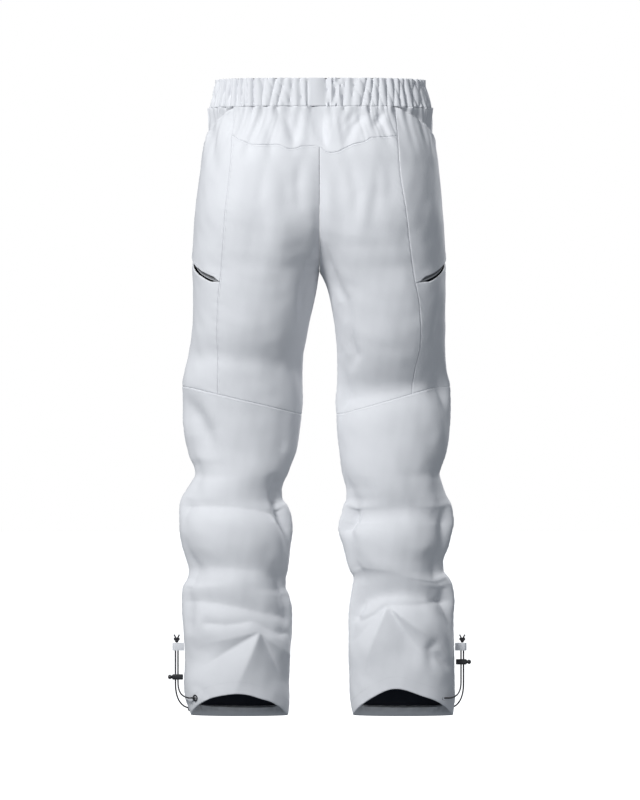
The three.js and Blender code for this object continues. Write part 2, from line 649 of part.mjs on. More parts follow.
// Steps of the tube fall on the route's own points, so bends get more of them.
class CordRoute extends THREE.CatmullRomCurve3 {
  getUtoTmapping(u) {
    return u;
  }
}

// The right cord, from the knot down through the lock, in at the back eyelet, round the
// channel, out at the front eyelet and up again. The left one is its mirror image.
const cordPoints = [
  [224, 0, -891.2], [224, 0, -946], [224, 0, -951], [223.6, -4, -958.5], [221.5, -14, -966],
  [217, -26.5, -972], [210, -37, -975.4], [204.6, -41.2, -976.1], [200.1, -41.8, -976.1],
  [195.6, -41.6, -976.1], [191.4, -41.4, -975], [187, -43.6, -972.7], [179.6, -48.8, -968.5],
  [165.4, -55.1, -963.2], [149.7, -59.2, -959.5], [130.5, -61, -958], [109.9, -59, -959.8],
  [90.7, -53.2, -964.8], [73.3, -43.4, -972.7], [58.3, -27.2, -983.9], [51.8, -8.8, -992.4],
  [54.2, 9, -994.3], [63.9, 24.9, -995.7], [78.2, 36.8, -996.8], [99.3, 46.3, -997.6],
  [130.5, 51, -998], [155.1, 48.1, -997.8], [175, 41.1, -997.1], [189.6, 32, -996.3],
  [196.6, 25.2, -995.7], [201.3, 21.3, -995.3], [205.4, 20.2, -995.1], [209.8, 19, -994.3],
  [216, 16.4, -991], [222, 12, -984], [226, 6.8, -974], [227.7, 2.4, -963], [228, 0, -951],
  [228, 0, -946], [228, 0, -891.2],
];

function cordTube(side) {
  const points = cordPoints.map(([x, y, z]) => new THREE.Vector3(side * x, y, z));
  const section = new THREE.Shape();
  section.absarc(0, 0, CORD / 2, 0, 2 * Math.PI, false);
  const options = { steps: (points.length - 1) * 2, bevelEnabled: false, curveSegments: 4,
    extrudePath: new CordRoute(points, false, 'centripetal') };
  return new THREE.ExtrudeGeometry(section, options);
}

const TAB_HEIGHT = 12;
const TAB_LENGTH = 18;
const TAB_HALF = 4.6;
const TAB_WALL = 1.3;

function cordTab() {
  const reach = STRAND_X - profile('out', -TAB_DROP) - LAYER;
  const loop = new THREE.Shape();
  const end = TAB_LENGTH - reach - TAB_HALF;
  loop.moveTo(-reach, -TAB_HALF);
  loop.lineTo(end, -TAB_HALF);
  loop.absarc(end, 0, TAB_HALF, -Math.PI / 2, Math.PI / 2, false);
  loop.lineTo(-reach, TAB_HALF);
  const hole = new THREE.Path();
  const inner = TAB_HALF - TAB_WALL;
  hole.moveTo(-reach + 2 * TAB_WALL, -inner);
  hole.lineTo(end, -inner);
  hole.absarc(end, 0, inner, -Math.PI / 2, Math.PI / 2, false);
  hole.lineTo(-reach + 2 * TAB_WALL, inner);
  loop.holes.push(hole);
  const shape = new THREE.ExtrudeGeometry(loop, { depth: TAB_HEIGHT, bevelEnabled: false,
    curveSegments: 10 });
  return shape.translate(0, 0, -TAB_HEIGHT / 2);
}

const BORE = 2.9;
const PLUNGER = 2.6;
const LOCK_HALF = 4.3;
const LOCK_IN = -10;         // the body's closed end, towards the leg
const LOCK_OUT = 7;          // and its open end, where the plunger stands out
const STRAND_SLOT = STRAND_GAP / 2 + CORD / 2 + 0.45;
const SLOT_WIDTH = CORD / 2 + 0.45;

// The cord lock's own frame: X away from the leg, Z along the strands.
function lockBody() {
  const round = new THREE.Shape();
  const r = 2.4;
  const h = LOCK_HALF - r;
  round.absarc(h, h, r, 0, Math.PI / 2, false);
  round.absarc(-h, h, r, Math.PI / 2, Math.PI, false);
  round.absarc(-h, -h, r, Math.PI, 1.5 * Math.PI, false);
  round.absarc(h, -h, r, 1.5 * Math.PI, 2 * Math.PI, false);
  const block = new THREE.ExtrudeGeometry(round, { depth: LOCK_OUT - LOCK_IN - 1.6,
    bevelThickness: 0.8, bevelSize: 0.8, bevelOffset: -0.8, bevelSegments: 1, curveSegments: 3 });
  block.rotateY(Math.PI / 2).translate(LOCK_IN + 0.8, 0, 0);
  const slot = box(-STRAND_SLOT, STRAND_SLOT, -SLOT_WIDTH, SLOT_WIDTH, -9, 9);
  return cut(block, bar('x', BORE, LOCK_IN + 1.1, LOCK_OUT + 2), slot);
}

function lockPlunger() {
  const inner = -STRAND_SLOT - 1.1;
  const stem = bar('x', PLUNGER, inner, LOCK_OUT + PRESS + 0.6);
  const head = turned([[0, 0], [3.6, 0], [3.9, 0.8], [3.2, 3.2], [1.6, 4.4], [0, 4.6]], 20);
  head.rotateZ(-Math.PI / 2).translate(LOCK_OUT + PRESS + 0.4, 0, 0);
  const slot = box(-STRAND_SLOT, STRAND_SLOT + PRESS, -SLOT_WIDTH, SLOT_WIDTH, -9, 9);
  return cut(join(stem, head), slot);
}

function lockSpring() {
  const turns = 2;
  const from = LOCK_IN + 1.6;
  const to = -STRAND_SLOT - 1.1 - PRESS - 0.55;
  class Helix extends THREE.Curve {
    getPoint(t) {
      const angle = 2 * Math.PI * turns * t;
      return new THREE.Vector3(mix(from, to, t), 2 * Math.cos(angle), 2 * Math.sin(angle));
    }
  }
  const wire = new THREE.Shape();
  wire.absarc(0, 0, 0.22, 0, 2 * Math.PI, false);
  return new THREE.ExtrudeGeometry(wire, { steps: 12 * turns, bevelEnabled: false,
    curveSegments: 3, extrudePath: new Helix() });
}

// The two ends of the cord, tied together above the tab.
function cordKnot() {
  return new THREE.SphereGeometry(5, 12, 8).scale(1.2, 0.9, 0.95);
}

function hemHardware(side, label) {
  const facing = side > 0 ? 0 : Math.PI;
  const turn = (z) => new THREE.Matrix4().makeRotationZ(facing)
    .setPosition(side * STRAND_X, 0, -z);
  ['back', 'front'].forEach((which) => {
    add(`${label}_${which}_eyelet`, eyeletShape(), blackPlastic, eyeletFrame(side, which));
  });
  add(`${label}_hem_cord`, cordTube(side), blackCord);
  add(`${label}_cord_tab`, cordTab(), shellCloth, turn(TAB_DROP));
  const knotDrop = TAB_DROP - TAB_HEIGHT / 2 - CLEAR - 4.75;
  add(`${label}_cord_knot`, cordKnot(), blackCord, turn(knotDrop));
  const lock = turn(LOCK_DROP[label]);
  add(`${label}_cord_lock_body`, lockBody(), blackPlastic, lock);
  add(`${label}_cord_lock_plunger`, lockPlunger(), blackPlastic, lock);
  add(`${label}_cord_lock_spring`, lockSpring(), springSteel, lock);
}

// ---- Assembly -----------------------------------------------------------------------------
const legs = [['left', -1], ['right', 1]];

add('back_yoke', backYoke(), shellCloth);
legs.forEach(([label, side]) => {
  add(`${label}_seat_panel`, seatPanel(side), shellCloth);
  add(`${label}_side_panel`, sidePanel(side), shellCloth);
  add(`${label}_front_panel`, frontPanel(side), shellCloth);
  add(`${label}_calf_panel`, lowerPanel(side, true), shellCloth);
  add(`${label}_shin_panel`, lowerPanel(side, false), shellCloth);
  add(`${label}_hem_facing`, hemFacing(side), shellCloth);
  add(`${label}_hip_facing`, hipFacing(side), shellCloth);
  const bag = tray(side, -38, 46, (theta) => facingEdge(theta) - SEAM, () => -236, RIM_OFFSET, -9);
  add(`${label}_hand_pocket_bag`, bag, meshCloth);
  thighPocket(side, label);
  hemHardware(side, label);
});

add('waistband_outer', waistbandOuter(), shellCloth);
add('waistband_elastic', bandPiece(-2, 3 - BAND, -FABRIC - LAYER, LINER, 3), elasticWeb);
add('waistband_lining', bandPiece(0, -BAND, LINING_OFFSET, LINER), liningCloth);
fly();
add('waist_tab', waistTab(), shellCloth);
snap();

export default pants;
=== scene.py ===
# %% [markdown]
# # A pair of softshell ski pants
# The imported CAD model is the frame: its moving bodies, zips, snap and cord locks are real
# pieces, and its cloth panels are smooth stand-ins. Here the cloth gets its gathers, folds,
# seams and stitches, the cords get their braid, and every piece gets a finish.

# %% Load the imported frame
import json
import math

import bpy
import numpy as np
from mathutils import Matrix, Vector


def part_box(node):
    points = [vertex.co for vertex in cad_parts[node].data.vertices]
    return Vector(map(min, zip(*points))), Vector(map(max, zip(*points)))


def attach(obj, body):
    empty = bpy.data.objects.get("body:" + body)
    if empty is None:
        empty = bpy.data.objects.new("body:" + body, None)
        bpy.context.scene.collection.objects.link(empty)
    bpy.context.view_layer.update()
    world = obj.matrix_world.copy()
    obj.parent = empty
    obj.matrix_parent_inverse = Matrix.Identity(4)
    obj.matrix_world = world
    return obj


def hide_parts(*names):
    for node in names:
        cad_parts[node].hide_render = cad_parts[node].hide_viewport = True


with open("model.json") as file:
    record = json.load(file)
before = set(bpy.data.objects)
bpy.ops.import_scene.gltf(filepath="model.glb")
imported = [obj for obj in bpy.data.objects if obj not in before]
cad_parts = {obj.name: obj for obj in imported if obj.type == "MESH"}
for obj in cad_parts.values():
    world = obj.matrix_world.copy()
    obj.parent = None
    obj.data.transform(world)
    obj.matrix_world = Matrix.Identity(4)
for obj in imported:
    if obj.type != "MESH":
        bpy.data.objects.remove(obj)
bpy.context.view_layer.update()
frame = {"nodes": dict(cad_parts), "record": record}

MM = 0.001


def deselect():
    bpy.ops.object.select_all(action="DESELECT")


# %% [markdown]
# ## Camera
# The pants are looked at squarely from behind, at half their height. A long lens from far
# away keeps the waist and the hems level, as in a catalogue.

# %% Camera
CAMERA_DISTANCE = 9.0
FRAME_HEIGHT = 1.2664        # metres of the pants' plane that the frame's height takes in
SENSOR = 36.0
VIEW_CENTRE = (0.0008, -0.5066)      # metres to the side and up
bpy.ops.object.camera_add(location=(VIEW_CENTRE[0], -CAMERA_DISTANCE, VIEW_CENTRE[1]),
                          rotation=(math.radians(90), 0, 0))
camera = bpy.context.object
camera.name = "camera"
camera.data.lens = SENSOR * CAMERA_DISTANCE / FRAME_HEIGHT
camera.data.clip_end = 60
bpy.context.scene.camera = camera
bpy.context.scene.view_settings.view_transform = "Standard"
print("camera lens, mm:", round(camera.data.lens, 1))

# %% [markdown]
# ## Hem cords
# Each hem has one elastic cord, 2.5 mm thick. It drops from the knot through the cord lock,
# goes in at the back eyelet, round the hem channel, out at the front eyelet and up again.
# The route's points are the CAD model's, in metres. A tube is swept along them in code,
# because a cord follows its own path and needs a map along its length for the braid.

# %% Cord tubes
CORD = 2.5 * MM
CORD_ROUTE = np.array([
    (224, 0, -891.2), (224, 0, -946), (224, 0, -951), (223.6, -4, -958.5), (221.5, -14, -966),
    (217, -26.5, -972), (210, -37, -975.4), (204.6, -41.2, -976.1), (200.1, -41.8, -976.1),
    (195.6, -41.6, -976.1), (191.4, -41.4, -975), (187, -43.6, -972.7), (179.6, -48.8, -968.5),
    (165.4, -55.1, -963.2), (149.7, -59.2, -959.5), (130.5, -61, -958), (109.9, -59, -959.8),
    (90.7, -53.2, -964.8), (73.3, -43.4, -972.7), (58.3, -27.2, -983.9), (51.8, -8.8, -992.4),
    (54.2, 9, -994.3), (63.9, 24.9, -995.7), (78.2, 36.8, -996.8), (99.3, 46.3, -997.6),
    (130.5, 51, -998), (155.1, 48.1, -997.8), (175, 41.1, -997.1), (189.6, 32, -996.3),
    (196.6, 25.2, -995.7), (201.3, 21.3, -995.3), (205.4, 20.2, -995.1), (209.8, 19, -994.3),
    (216, 16.4, -991), (222, 12, -984), (226, 6.8, -974), (227.7, 2.4, -963), (228, 0, -951),
    (228, 0, -946), (228, 0, -891.2)]) * MM
SIDES = {"left": -1, "right": 1}


def through(points, steps=6):
    """Points on a smooth curve through the given ones, spaced by the root of their gaps."""
    ends = np.vstack([2 * points[0] - points[1], points, 2 * points[-1] - points[-2]])
    out = []
    for i in range(1, len(ends) - 2):
        p = ends[i - 1:i + 3]
        knots = np.cumsum([0] + [math.sqrt(np.linalg.norm(p[k + 1] - p[k])) for k in range(3)])
        for t in np.linspace(knots[1], knots[2], steps, endpoint=False):
            level = list(p)
            for span in (1, 2):
                for k in range(4 - span if span == 1 else 2):
                    a, b = (knots[k], knots[k + 1]) if span == 1 else (knots[k], knots[k + 2])
                    level[k] = ((b - t) * level[k] + (t - a) * level[k + 1]) / (b - a)
            a, b = knots[1], knots[2]
            out.append(((b - t) * level[0] + (t - a) * level[1]) / (b - a))
    out.append(points[-1])
    return np.array(out)


def tube(name, path, radius, sides=12, closed=False):
    """A round tube along a path, with a UV map in metres: round it, and along it."""
    path = np.asarray(path, float)
    n = len(path)
    ahead = np.roll(path, -1, 0) if closed else np.vstack([path[1:], path[-1]])
    behind = np.roll(path, 1, 0) if closed else np.vstack([path[0], path[:-1]])
    along = ahead - behind
    along /= np.linalg.norm(along, axis=1)[:, None]
    across = np.cross(along[0], (0.3, 1, 0.2))
    rings = []
    for i in range(n):
        across = across - along[i] * (across @ along[i])
        across /= np.linalg.norm(across)
        other = np.cross(along[i], across)
        turn = np.arange(sides) * 2 * math.pi / sides
        rings.append(path[i] + radius * (np.cos(turn)[:, None] * across
                                         + np.sin(turn)[:, None] * other))
    points = np.vstack(rings)
    run = np.concatenate([[0], np.cumsum(np.linalg.norm(np.diff(path, axis=0), axis=1))])
    faces, uvs = [], []
    for i in range(n if closed else n - 1):
        j = (i + 1) % n
        far = run[j] if j else run[-1] + np.linalg.norm(path[0] - path[-1])
        for k in range(sides):
            m = (k + 1) % sides
            faces.append((i * sides + k, i * sides + m, j * sides + m, j * sides + k))
            w = 2 * math.pi * radius / sides
            uvs += [(k * w, run[i]), ((k + 1) * w, run[i]), ((k + 1) * w, far), (k * w, far)]
    if not closed:
        faces.append(tuple(range(sides))[::-1])
        faces.append(tuple((n - 1) * sides + k for k in range(sides)))
        uvs += [(0, 0)] * (2 * sides)
    mesh = bpy.data.meshes.new(name)
    mesh.from_pydata(points.tolist(), [], faces)
    layer = mesh.uv_layers.new(name="along")
    layer.data.foreach_set("uv", np.array(uvs, np.float32).ravel())
    mesh.polygons.foreach_set("use_smooth", [True] * len(mesh.polygons))
    if not closed:
        for cap in (-1, -2):
            mesh.polygons[len(mesh.polygons) + cap].use_smooth = False
    mesh.update()
    piece = bpy.data.objects.new(name, mesh)
    bpy.context.scene.collection.objects.link(piece)
    return piece, float(run[-1])


# %% [markdown]
# The two ends of each cord are tied above the tab in one overhand knot, with the cut ends
# standing out of it. A trefoil is the closed form of that knot, so its curve gives the turns.

# %% Cords and knots
worn_by = {}                 # the finish, or the two finishes, that each piece wears
for label, sign in SIDES.items():
    route = CORD_ROUTE * (sign, 1, 1)
    cord, length = tube(f"{label}_hem_cord_braided", through(route), CORD / 2)
    centre = sum(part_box(f"{label}_cord_knot"), Vector()) / 2
    t = np.linspace(0, 2 * math.pi, 72, endpoint=False)
    loops = np.stack([np.sin(t) + 2 * np.sin(2 * t), np.cos(t) - 2 * np.cos(2 * t),
                      -1.25 * np.sin(3 * t)], 1)
    turns = loops[:, [0, 2, 1]] * (1.35, 1.5, 1.15) * MM
    knot, _ = tube(f"{label}_cord_knot_tied", turns + np.array(centre), CORD / 2, 10, True)
    tails = []
    for lean in (-1, 1):
        steps = np.linspace(0, 1, 8)[:, None]
        tip = np.array(centre) + steps * np.array((lean * 4.2 * sign, lean * 1.2, 8)) * MM
        tail, _ = tube(f"{label}_cord_end_{'in' if lean < 0 else 'out'}", tip, CORD / 2 * 0.96, 10)
        tails.append(tail)
    for piece in [cord, knot] + tails:
        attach(piece, "garment")
        worn_by[piece.name] = "cord"
    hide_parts(f"{label}_hem_cord")
    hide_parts(f"{label}_cord_knot")
    through(route).tolist()
    print(label, "cord, metres:", round(length, 3))

# %% [markdown]
# ## The body under the cloth
# Each leg is a row of sections, two half ellipses each, and the sections are joined by smooth
# curves down the leg. The two outlines differ a little, because the cloth has settled its own
# way on each leg. Angle 0 is the outer side, negative is the back and positive the front.

# %% Smooth curves and sections
def smoothstep(x, low, high):
    t = np.clip((x - low) / (high - low), 0, 1)
    return t * t * (3 - 2 * t)


def smooth(stations, values):
    """A curve through values at rising stations that never overshoots between them."""
    s, v = np.array(stations, float), np.array(values, float)
    slopes = np.diff(v) / np.diff(s)
    inner = np.where(slopes[:-1] * slopes[1:] > 0,
                     2 * slopes[:-1] * slopes[1:] / (slopes[:-1] + slopes[1:] + 1e-12), 0)
    tangent = np.concatenate([[0], inner, [0]])

    def at(x):
        x = np.clip(x, s[0], s[-1])
        i = np.clip(np.searchsorted(s, x) - 1, 0, len(s) - 2)
        step = s[i + 1] - s[i]
        t = (x - s[i]) / step
        return (v[i] * (2 * t**3 - 3 * t**2 + 1) + v[i + 1] * (3 * t**2 - 2 * t**3)
                + step * (tangent[i] * (t**3 - 2 * t**2 + t) + tangent[i + 1] * (t**3 - t**2)))

    return at


# Drop below the waistband top, then the outer and inner reach from the middle, millimetres.
OUTLINE = {
    "left": [
        (0, 166.5, -240), (45, 172, -240), (70, 177, -215), (108, 183, -170), (127, 186, -148),
        (165, 191, -125), (203, 196, -104), (240, 199, -68), (270, 200.5, -28), (304, 201, 0),
        (332, 200, 4), (358, 200, 9), (383, 200, 15), (408, 202, 20), (434, 207, 25),
        (459, 213, 26), (484, 216, 26), (510, 216, 26), (535, 216, 28), (560, 214, 32),
        (586, 208, 36), (598, 205, 40), (611, 199, 45), (624, 197, 50), (636, 203, 56),
        (649, 211, 59), (662, 218, 58), (674, 221, 50), (687, 222, 45), (712, 222, 42),
        (738, 218, 45), (763, 210, 48), (776, 207, 50), (788, 209, 53), (801, 216, 53),
        (814, 218, 48), (839, 218, 42.5), (877, 215, 43), (902, 213.5, 45), (935, 214, 46),
        (953, 214.5, 47), (975, 213, 47.5), (992, 208, 48), (1010, 202, 49)],
    "right": [
        (0, 168.5, -240), (45, 176, -240), (70, 180, -215), (108, 184, -170), (127, 187, -148),
        (165, 191, -125), (203, 194.5, -104), (240, 197.5, -68), (270, 199, -28),
        (304, 199.5, 0), (332, 200, 12), (358, 200, 18), (383, 200, 23), (408, 199, 26),
        (434, 200, 28), (459, 202, 28), (484, 207, 28), (510, 208, 25), (535, 208, 26),
        (560, 207, 28), (586, 202, 31), (611, 194, 34), (624, 191, 36), (636, 194, 39),
        (649, 198, 42), (662, 204, 42), (674, 210, 37), (687, 212, 34), (700, 213, 30),
        (712, 211, 29), (738, 205, 36), (763, 196, 42), (776, 197, 47), (788, 205, 53),
        (801, 211, 51), (826, 214, 47), (850, 213, 45), (902, 213.5, 45), (935, 214, 46),
        (953, 214.5, 47), (975, 215, 48), (992, 213, 50), (1010, 211, 53)],
}
# Drop, then the leg's axis, its lean forward, and the depths behind and before the axis.
DEPTHS = [
    (0, 60, 0, 75, 75), (45, 60, 0, 75, 75), (127, 72, 0, 99, 88), (203, 85, 0, 109, 95),
    (270, 97, 0, 98.5, 90.5), (304, 100, 0, 91.5, 91.5), (332, None, 1, 89.5, 90.5),
    (396, None, 4, 82, 84), (434, None, 7, 76, 79), (507, None, 12, 66, 73),
    (560, None, 12, 63, 70), (620, None, 7, 61, 64), (700, None, -2, 65, 60),
    (776, None, -4, 64, 58), (850, None, -5, 62, 60), (950, None, -5, 60, 60),
    (1010, None, -5, 60, 60)]
# How far out the two seams of the side panel lie, back seam first, millimetres.
SEAMS = {
    "left": [(45, 136), (71, 137), (111, 138.5), (190, 146), (237, 150), (301, 155), (361, 161),
             (430, 163), (507, 160)],
    "right": [(45, 120.5), (63, 121), (149, 127), (212, 136), (269, 143), (318, 150),
              (358, 157.5), (418, 160.5), (461, 155), (507, 151)],
}
# The extra rise of each hem's arch, where it lies from the middle, and how wide it is, millimetres.
HEM_ARCH = {"left": (0, 110, 40), "right": (8, 112, 46)}
CROTCH = 304                 # drop of the crotch


class Half:
    """One half of the pants, as a body surface that the cloth lies on."""

    def __init__(self, label):
        self.label = label
        self.sign = SIDES[label]
        rows = np.array(OUTLINE[label], float)
        self.out = smooth(rows[:, 0], rows[:, 1])
        self.inn = smooth(rows[:, 0], rows[:, 2])
        axis = [(d, m if m is not None else (self.out(d) + self.inn(d)) / 2)
                for d, m, *_ in DEPTHS]
        axis = [a for a in axis if a[0] <= CROTCH] + [
            (d, (self.out(d) + self.inn(d)) / 2) for d in rows[:, 0] if d > CROTCH]
        self.mid = smooth(*zip(*axis))
        drops = [row[0] for row in DEPTHS]
        self.lean = smooth(drops, [row[2] for row in DEPTHS])
        self.back = smooth(drops, [row[3] for row in DEPTHS])
        self.front = smooth(drops, [row[4] for row in DEPTHS])
        self.seam_reach = smooth(*zip(*SEAMS[label]))

    def surface(self, angle, z):
        drop = -z / MM
        mid = self.mid(drop)
        reach = np.where(np.cos(angle) > 0, self.out(drop) - mid, mid - self.inn(drop))
        depth = np.where(np.sin(angle) < 0, self.back(drop), self.front(drop))
        x = self.sign * (mid + reach * np.cos(angle))
        y = self.lean(drop) + depth * np.sin(angle)
        return np.stack([x * MM, y * MM, z + 0 * angle], -1)

    def outward(self, angle, z):
        round_ = self.surface(angle + 0.01, z) - self.surface(angle - 0.01, z)
        up = self.surface(angle, z + MM) - self.surface(angle, z - MM)
        normal = np.cross(round_, up) * self.sign
        normal /= np.linalg.norm(normal, axis=-1)[..., None]
        middle = smoothstep(np.abs(self.surface(angle, z)[..., 0]), 0, 14 * MM)
        normal[..., 0] *= 1 - (1 - middle) * smoothstep(z, -320 * MM, -290 * MM)
        return normal / np.linalg.norm(normal, axis=-1)[..., None]

    def centre(self, z, gap=0.0):
        """The angle where the half meets the middle, or the inseam below the crotch."""
        drop = -np.asarray(z, float) / MM
        mid, inn = self.mid(drop), self.inn(drop)
        cosine = np.clip((gap / MM - mid) / np.maximum(mid - inn, 1e-6), -1, 1)
        return np.where(inn >= gap / MM, math.pi, np.arccos(cosine))

    def seam(self, z):
        drop = -np.asarray(z, float) / MM
        mid = self.mid(drop)
        return np.arccos(np.clip((self.seam_reach(drop) - mid) / (self.out(drop) - mid), -1, 1))


halves = {label: Half(label) for label in SIDES}
print("halves:", list(halves))

# %% [markdown]
# ## Folds
# A fold is a height added along the cloth's outward direction. Some run along a line, as a
# soft hollow or ridge, and some lie across the leg, where one bulge ends and the next begins:
# mostly their lower side is the shorter one and catches the light, and the upper one is dark.
# Above each heel, flat facets spread from a point as a fan. Each fold is placed in
# millimetres: sideways from the middle of the pants, and up from the top of the waistband.

# %% Three kinds of fold
def hollow(x, z, line, depth, width):
    """A valley, or a ridge where depth is negative, along a line of points."""
    line = np.array(line, float)
    near = np.full(x.shape, 1e9)
    where = np.zeros(x.shape)
    run = 0.0
    for a, b in zip(line[:-1], line[1:]):
        d = b - a
        length = np.hypot(*d)
        t = ((x - a[0]) * d[0] + (z - a[1]) * d[1]) / length**2
        t_in = np.clip(t, 0, 1)
        gap = np.hypot(x - a[0] - d[0] * t_in, z - a[1] - d[1] * t_in)
        closer = gap < near
        near = np.where(closer, gap, near)
        where = np.where(closer, run + t_in * length, where)
        run += length
    fade = 0.42 * run
    ends = smoothstep(where, -3, fade) * smoothstep(run - where, -3, fade)
    return -depth * np.exp(-(near / width) ** 2) * ends


def across(x, z, line, depth, above, below, soft, lip, fade=16.0):
    """A crease across a leg, with the reach of its upper and its lower side."""
    line = np.array(sorted(line), float)
    level = smooth(line[:, 0], line[:, 1])(x)
    d = z - level
    reach = np.where(d > 0, above, below)
    far = np.sqrt(d**2 + soft**2) - soft
    ends = smoothstep(x, line[0, 0] - fade, line[0, 0]) * (
        1 - smoothstep(x, line[-1, 0], line[-1, 0] + fade))
    step = lip * np.exp(-np.clip(d, 0, None) / above) * smoothstep(d, -1.2, 1.2)
    return (-depth * np.exp(-((far / reach) ** 1.25)) + step) * ends


def fan(x, z, apex, spokes, depth, near=24.0, far=96.0):
    """Flat facets that spread below a point; spokes are degrees from straight down, and height."""
    right, down = x - apex[0], apex[1] - z
    angle = np.degrees(np.arctan2(right, down))
    away = np.hypot(right, down)
    facets = np.interp(angle, *zip(*spokes))
    return depth * facets * (1 - np.exp(-away / near)) * (1 - smoothstep(away, far * 0.6, far * 1.3))


# %% [markdown]
# The back is the side that shows most. Its creases were set one by one, from the waist down
# to the hems; the front gets calmer ones of the same kind.

# %% The folds of the back and the front
BACK_HOLLOWS = [
    # hips: pleats that run down from the gathers, and the valley of the seat
    ([(-1, -50), (4, -76), (7, -98), (12, -116)], 5.5, 6), ([(14, -60), (22, -110)], -2.0, 9),
    ([(-58, -50), (-47, -76), (-37, -112)], 3.6, 7), ([(-91, -52), (-110, -87), (-116, -140)], 3, 11),
    ([(-31, -50), (-32, -79), (-36, -108)], 2.2, 6), ([(-72, -50), (-78, -90), (-74, -150)], 2, 9),
    ([(77, -50), (51, -79), (40, -114)], 3.6, 7), ([(58, -50), (40, -78)], 2.6, 5),
    ([(104, -50), (83, -82)], 2.6, 6), ([(100, -90), (112, -170), (108, -230)], 2.6, 15),
    ([(-170, -48), (-169, -111), (-167, -160)], 3.4, 8), ([(-140, -50), (-140, -95)], 2, 6),
    ([(-116, -135), (-104, -220), (-100, -300)], 2.6, 17), ([(-60, -150), (-38, -230)], 2, 14),
    ([(0, -120), (1, -200), (2, -300)], 2.6, 9), ([(24, -130), (34, -215), (40, -260)], 2.6, 15),
    ([(6, -262), (20, -304), (34, -346)], 3.5, 7), ([(-8, -280), (-24, -330), (-30, -386)], 3, 9),
    ([(60, -210), (66, -330)], -2.5, 26), ([(-62, -200), (-70, -330)], -2.5, 26),
    ([(-30, -116), (-34, -170), (-26, -236)], 2.2, 9), ([(40, -114), (58, -180), (52, -250)], 2.4, 10),
    ([(-84, -110), (-92, -190), (-80, -280)], 2.2, 12), ([(84, -100), (92, -170), (80, -260)], 2.2, 11),
    ([(10, -300), (40, -350), (52, -410)], 3.0, 10), ([(-14, -300), (-24, -360), (-26, -420)], 3.0, 9),
    # left leg, from the knee down
    ([(-222, -490), (-200, -524), (-184, -557), (-176, -606)], 8, 17),
    ([(-72, -620), (-62, -652), (-54, -676), (-43, -708)], 8, 8),
    ([(-204, -950), (-188, -905), (-168, -874)], 3.5, 18), ([(-210, -820), (-206, -880)], 4, 9),
    # right leg
    ([(42, -383), (52, -435), (41, -467)], 4, 9), ([(199, -338), (190, -385), (183, -425)], 3, 8),
    ([(58, -655), (43, -684), (34, -712), (50, -741)], 4.5, 7),
    ([(178, -940), (176, -899), (192, -876)], 3.2, 9), ([(180, -900), (194, -918), (210, -934)], 3, 7),
]
BACK_CREASES = [
    # line, depth, reach above, reach below, softness, lip
    ([(-212, -438), (-126, -442), (-30, -452)], 4.5, 18, 20, 9, 0),
    ([(-205, -585), (-130, -598), (-60, -590)], 2.5, 30, 26, 12, 0),
    ([(-221, -672), (-189, -670), (-139, -671), (-91, -675), (-67, -682), (-42, -706)],
     11, 38, 24, 2.2, 0.5),
    ([(-212, -773), (-173, -769), (-139, -769), (-91, -774), (-66, -783), (-48, -800)],
     8, 34, 26, 4, 0.2),
    ([(-214, -822), (-173, -824), (-139, -829), (-99, -837), (-70, -843), (-40, -846)],
     7, 26, 16, 2.5, 0.4),
    ([(-176, -858), (-150, -859), (-126, -857), (-107, -854), (-96, -858), (-82, -865),
      (-58, -873)], 3.0, 10, 8, 0.8, 0.5),
    ([(30, -500), (96, -494), (143, -489), (205, -484)], 14, 38, 30, 8, 0),
    ([(30, -688), (96, -682), (143, -679), (191, -690), (214, -700)], 15, 30, 36, 8, 0),
    ([(42, -842), (51, -826), (80, -816), (127, -812), (175, -815), (212, -822)], 17, 42, 26, 5, 0),
    ([(40, -842), (56, -854), (74, -847), (102, -831), (131, -830), (167, -829), (212, -823)],
     2.8, 5, 6, 0.6, 0.7),
    ([(45, -762), (130, -756), (196, -764)], 3, 24, 22, 9, 0),
]
BACK_FANS = [
    # apex, spokes, depth
    ((-94, -872), [(-180, 0), (-104, 0), (-78, -0.1), (-60, -0.9), (-22, 0.9), (28, -1.1),
                   (50, 0.5), (86, 0), (180, 0)], 5.5),
    ((104, -829), [(-180, 0), (-100, 0), (-62, -0.2), (-44, -0.6), (-18, 0.9), (36, -1.2),
                   (54, 0.5), (84, 0), (180, 0)], 6.5),
]
FRONT_HOLLOWS = [
    ([(-62, -50), (-70, -100), (-64, -160)], 2.6, 9), ([(70, -50), (62, -98), (70, -150)], 2.6, 9),
    ([(-110, -52), (-100, -120)], 2.4, 11), ([(112, -52), (104, -124)], 2.4, 11),
    ([(6, -296), (40, -270), (88, -262)], 3.2, 11), ([(-6, -298), (-44, -272), (-92, -266)], 3.2, 11),
    ([(8, -310), (40, -318), (84, -310)], 2.4, 9), ([(-8, -312), (-40, -322), (-86, -314)], 2.4, 9),
    ([(60, -330), (84, -400), (96, -470)], -2.4, 24), ([(-62, -330), (-88, -400), (-98, -470)], -2.4, 24),
    ([(96, -880), (120, -930)], 3, 12), ([(-90, -876), (-118, -934)], 3, 12),
    ([(172, -868), (160, -930)], 2.6, 10), ([(-176, -862), (-150, -936)], 2.6, 10),
]
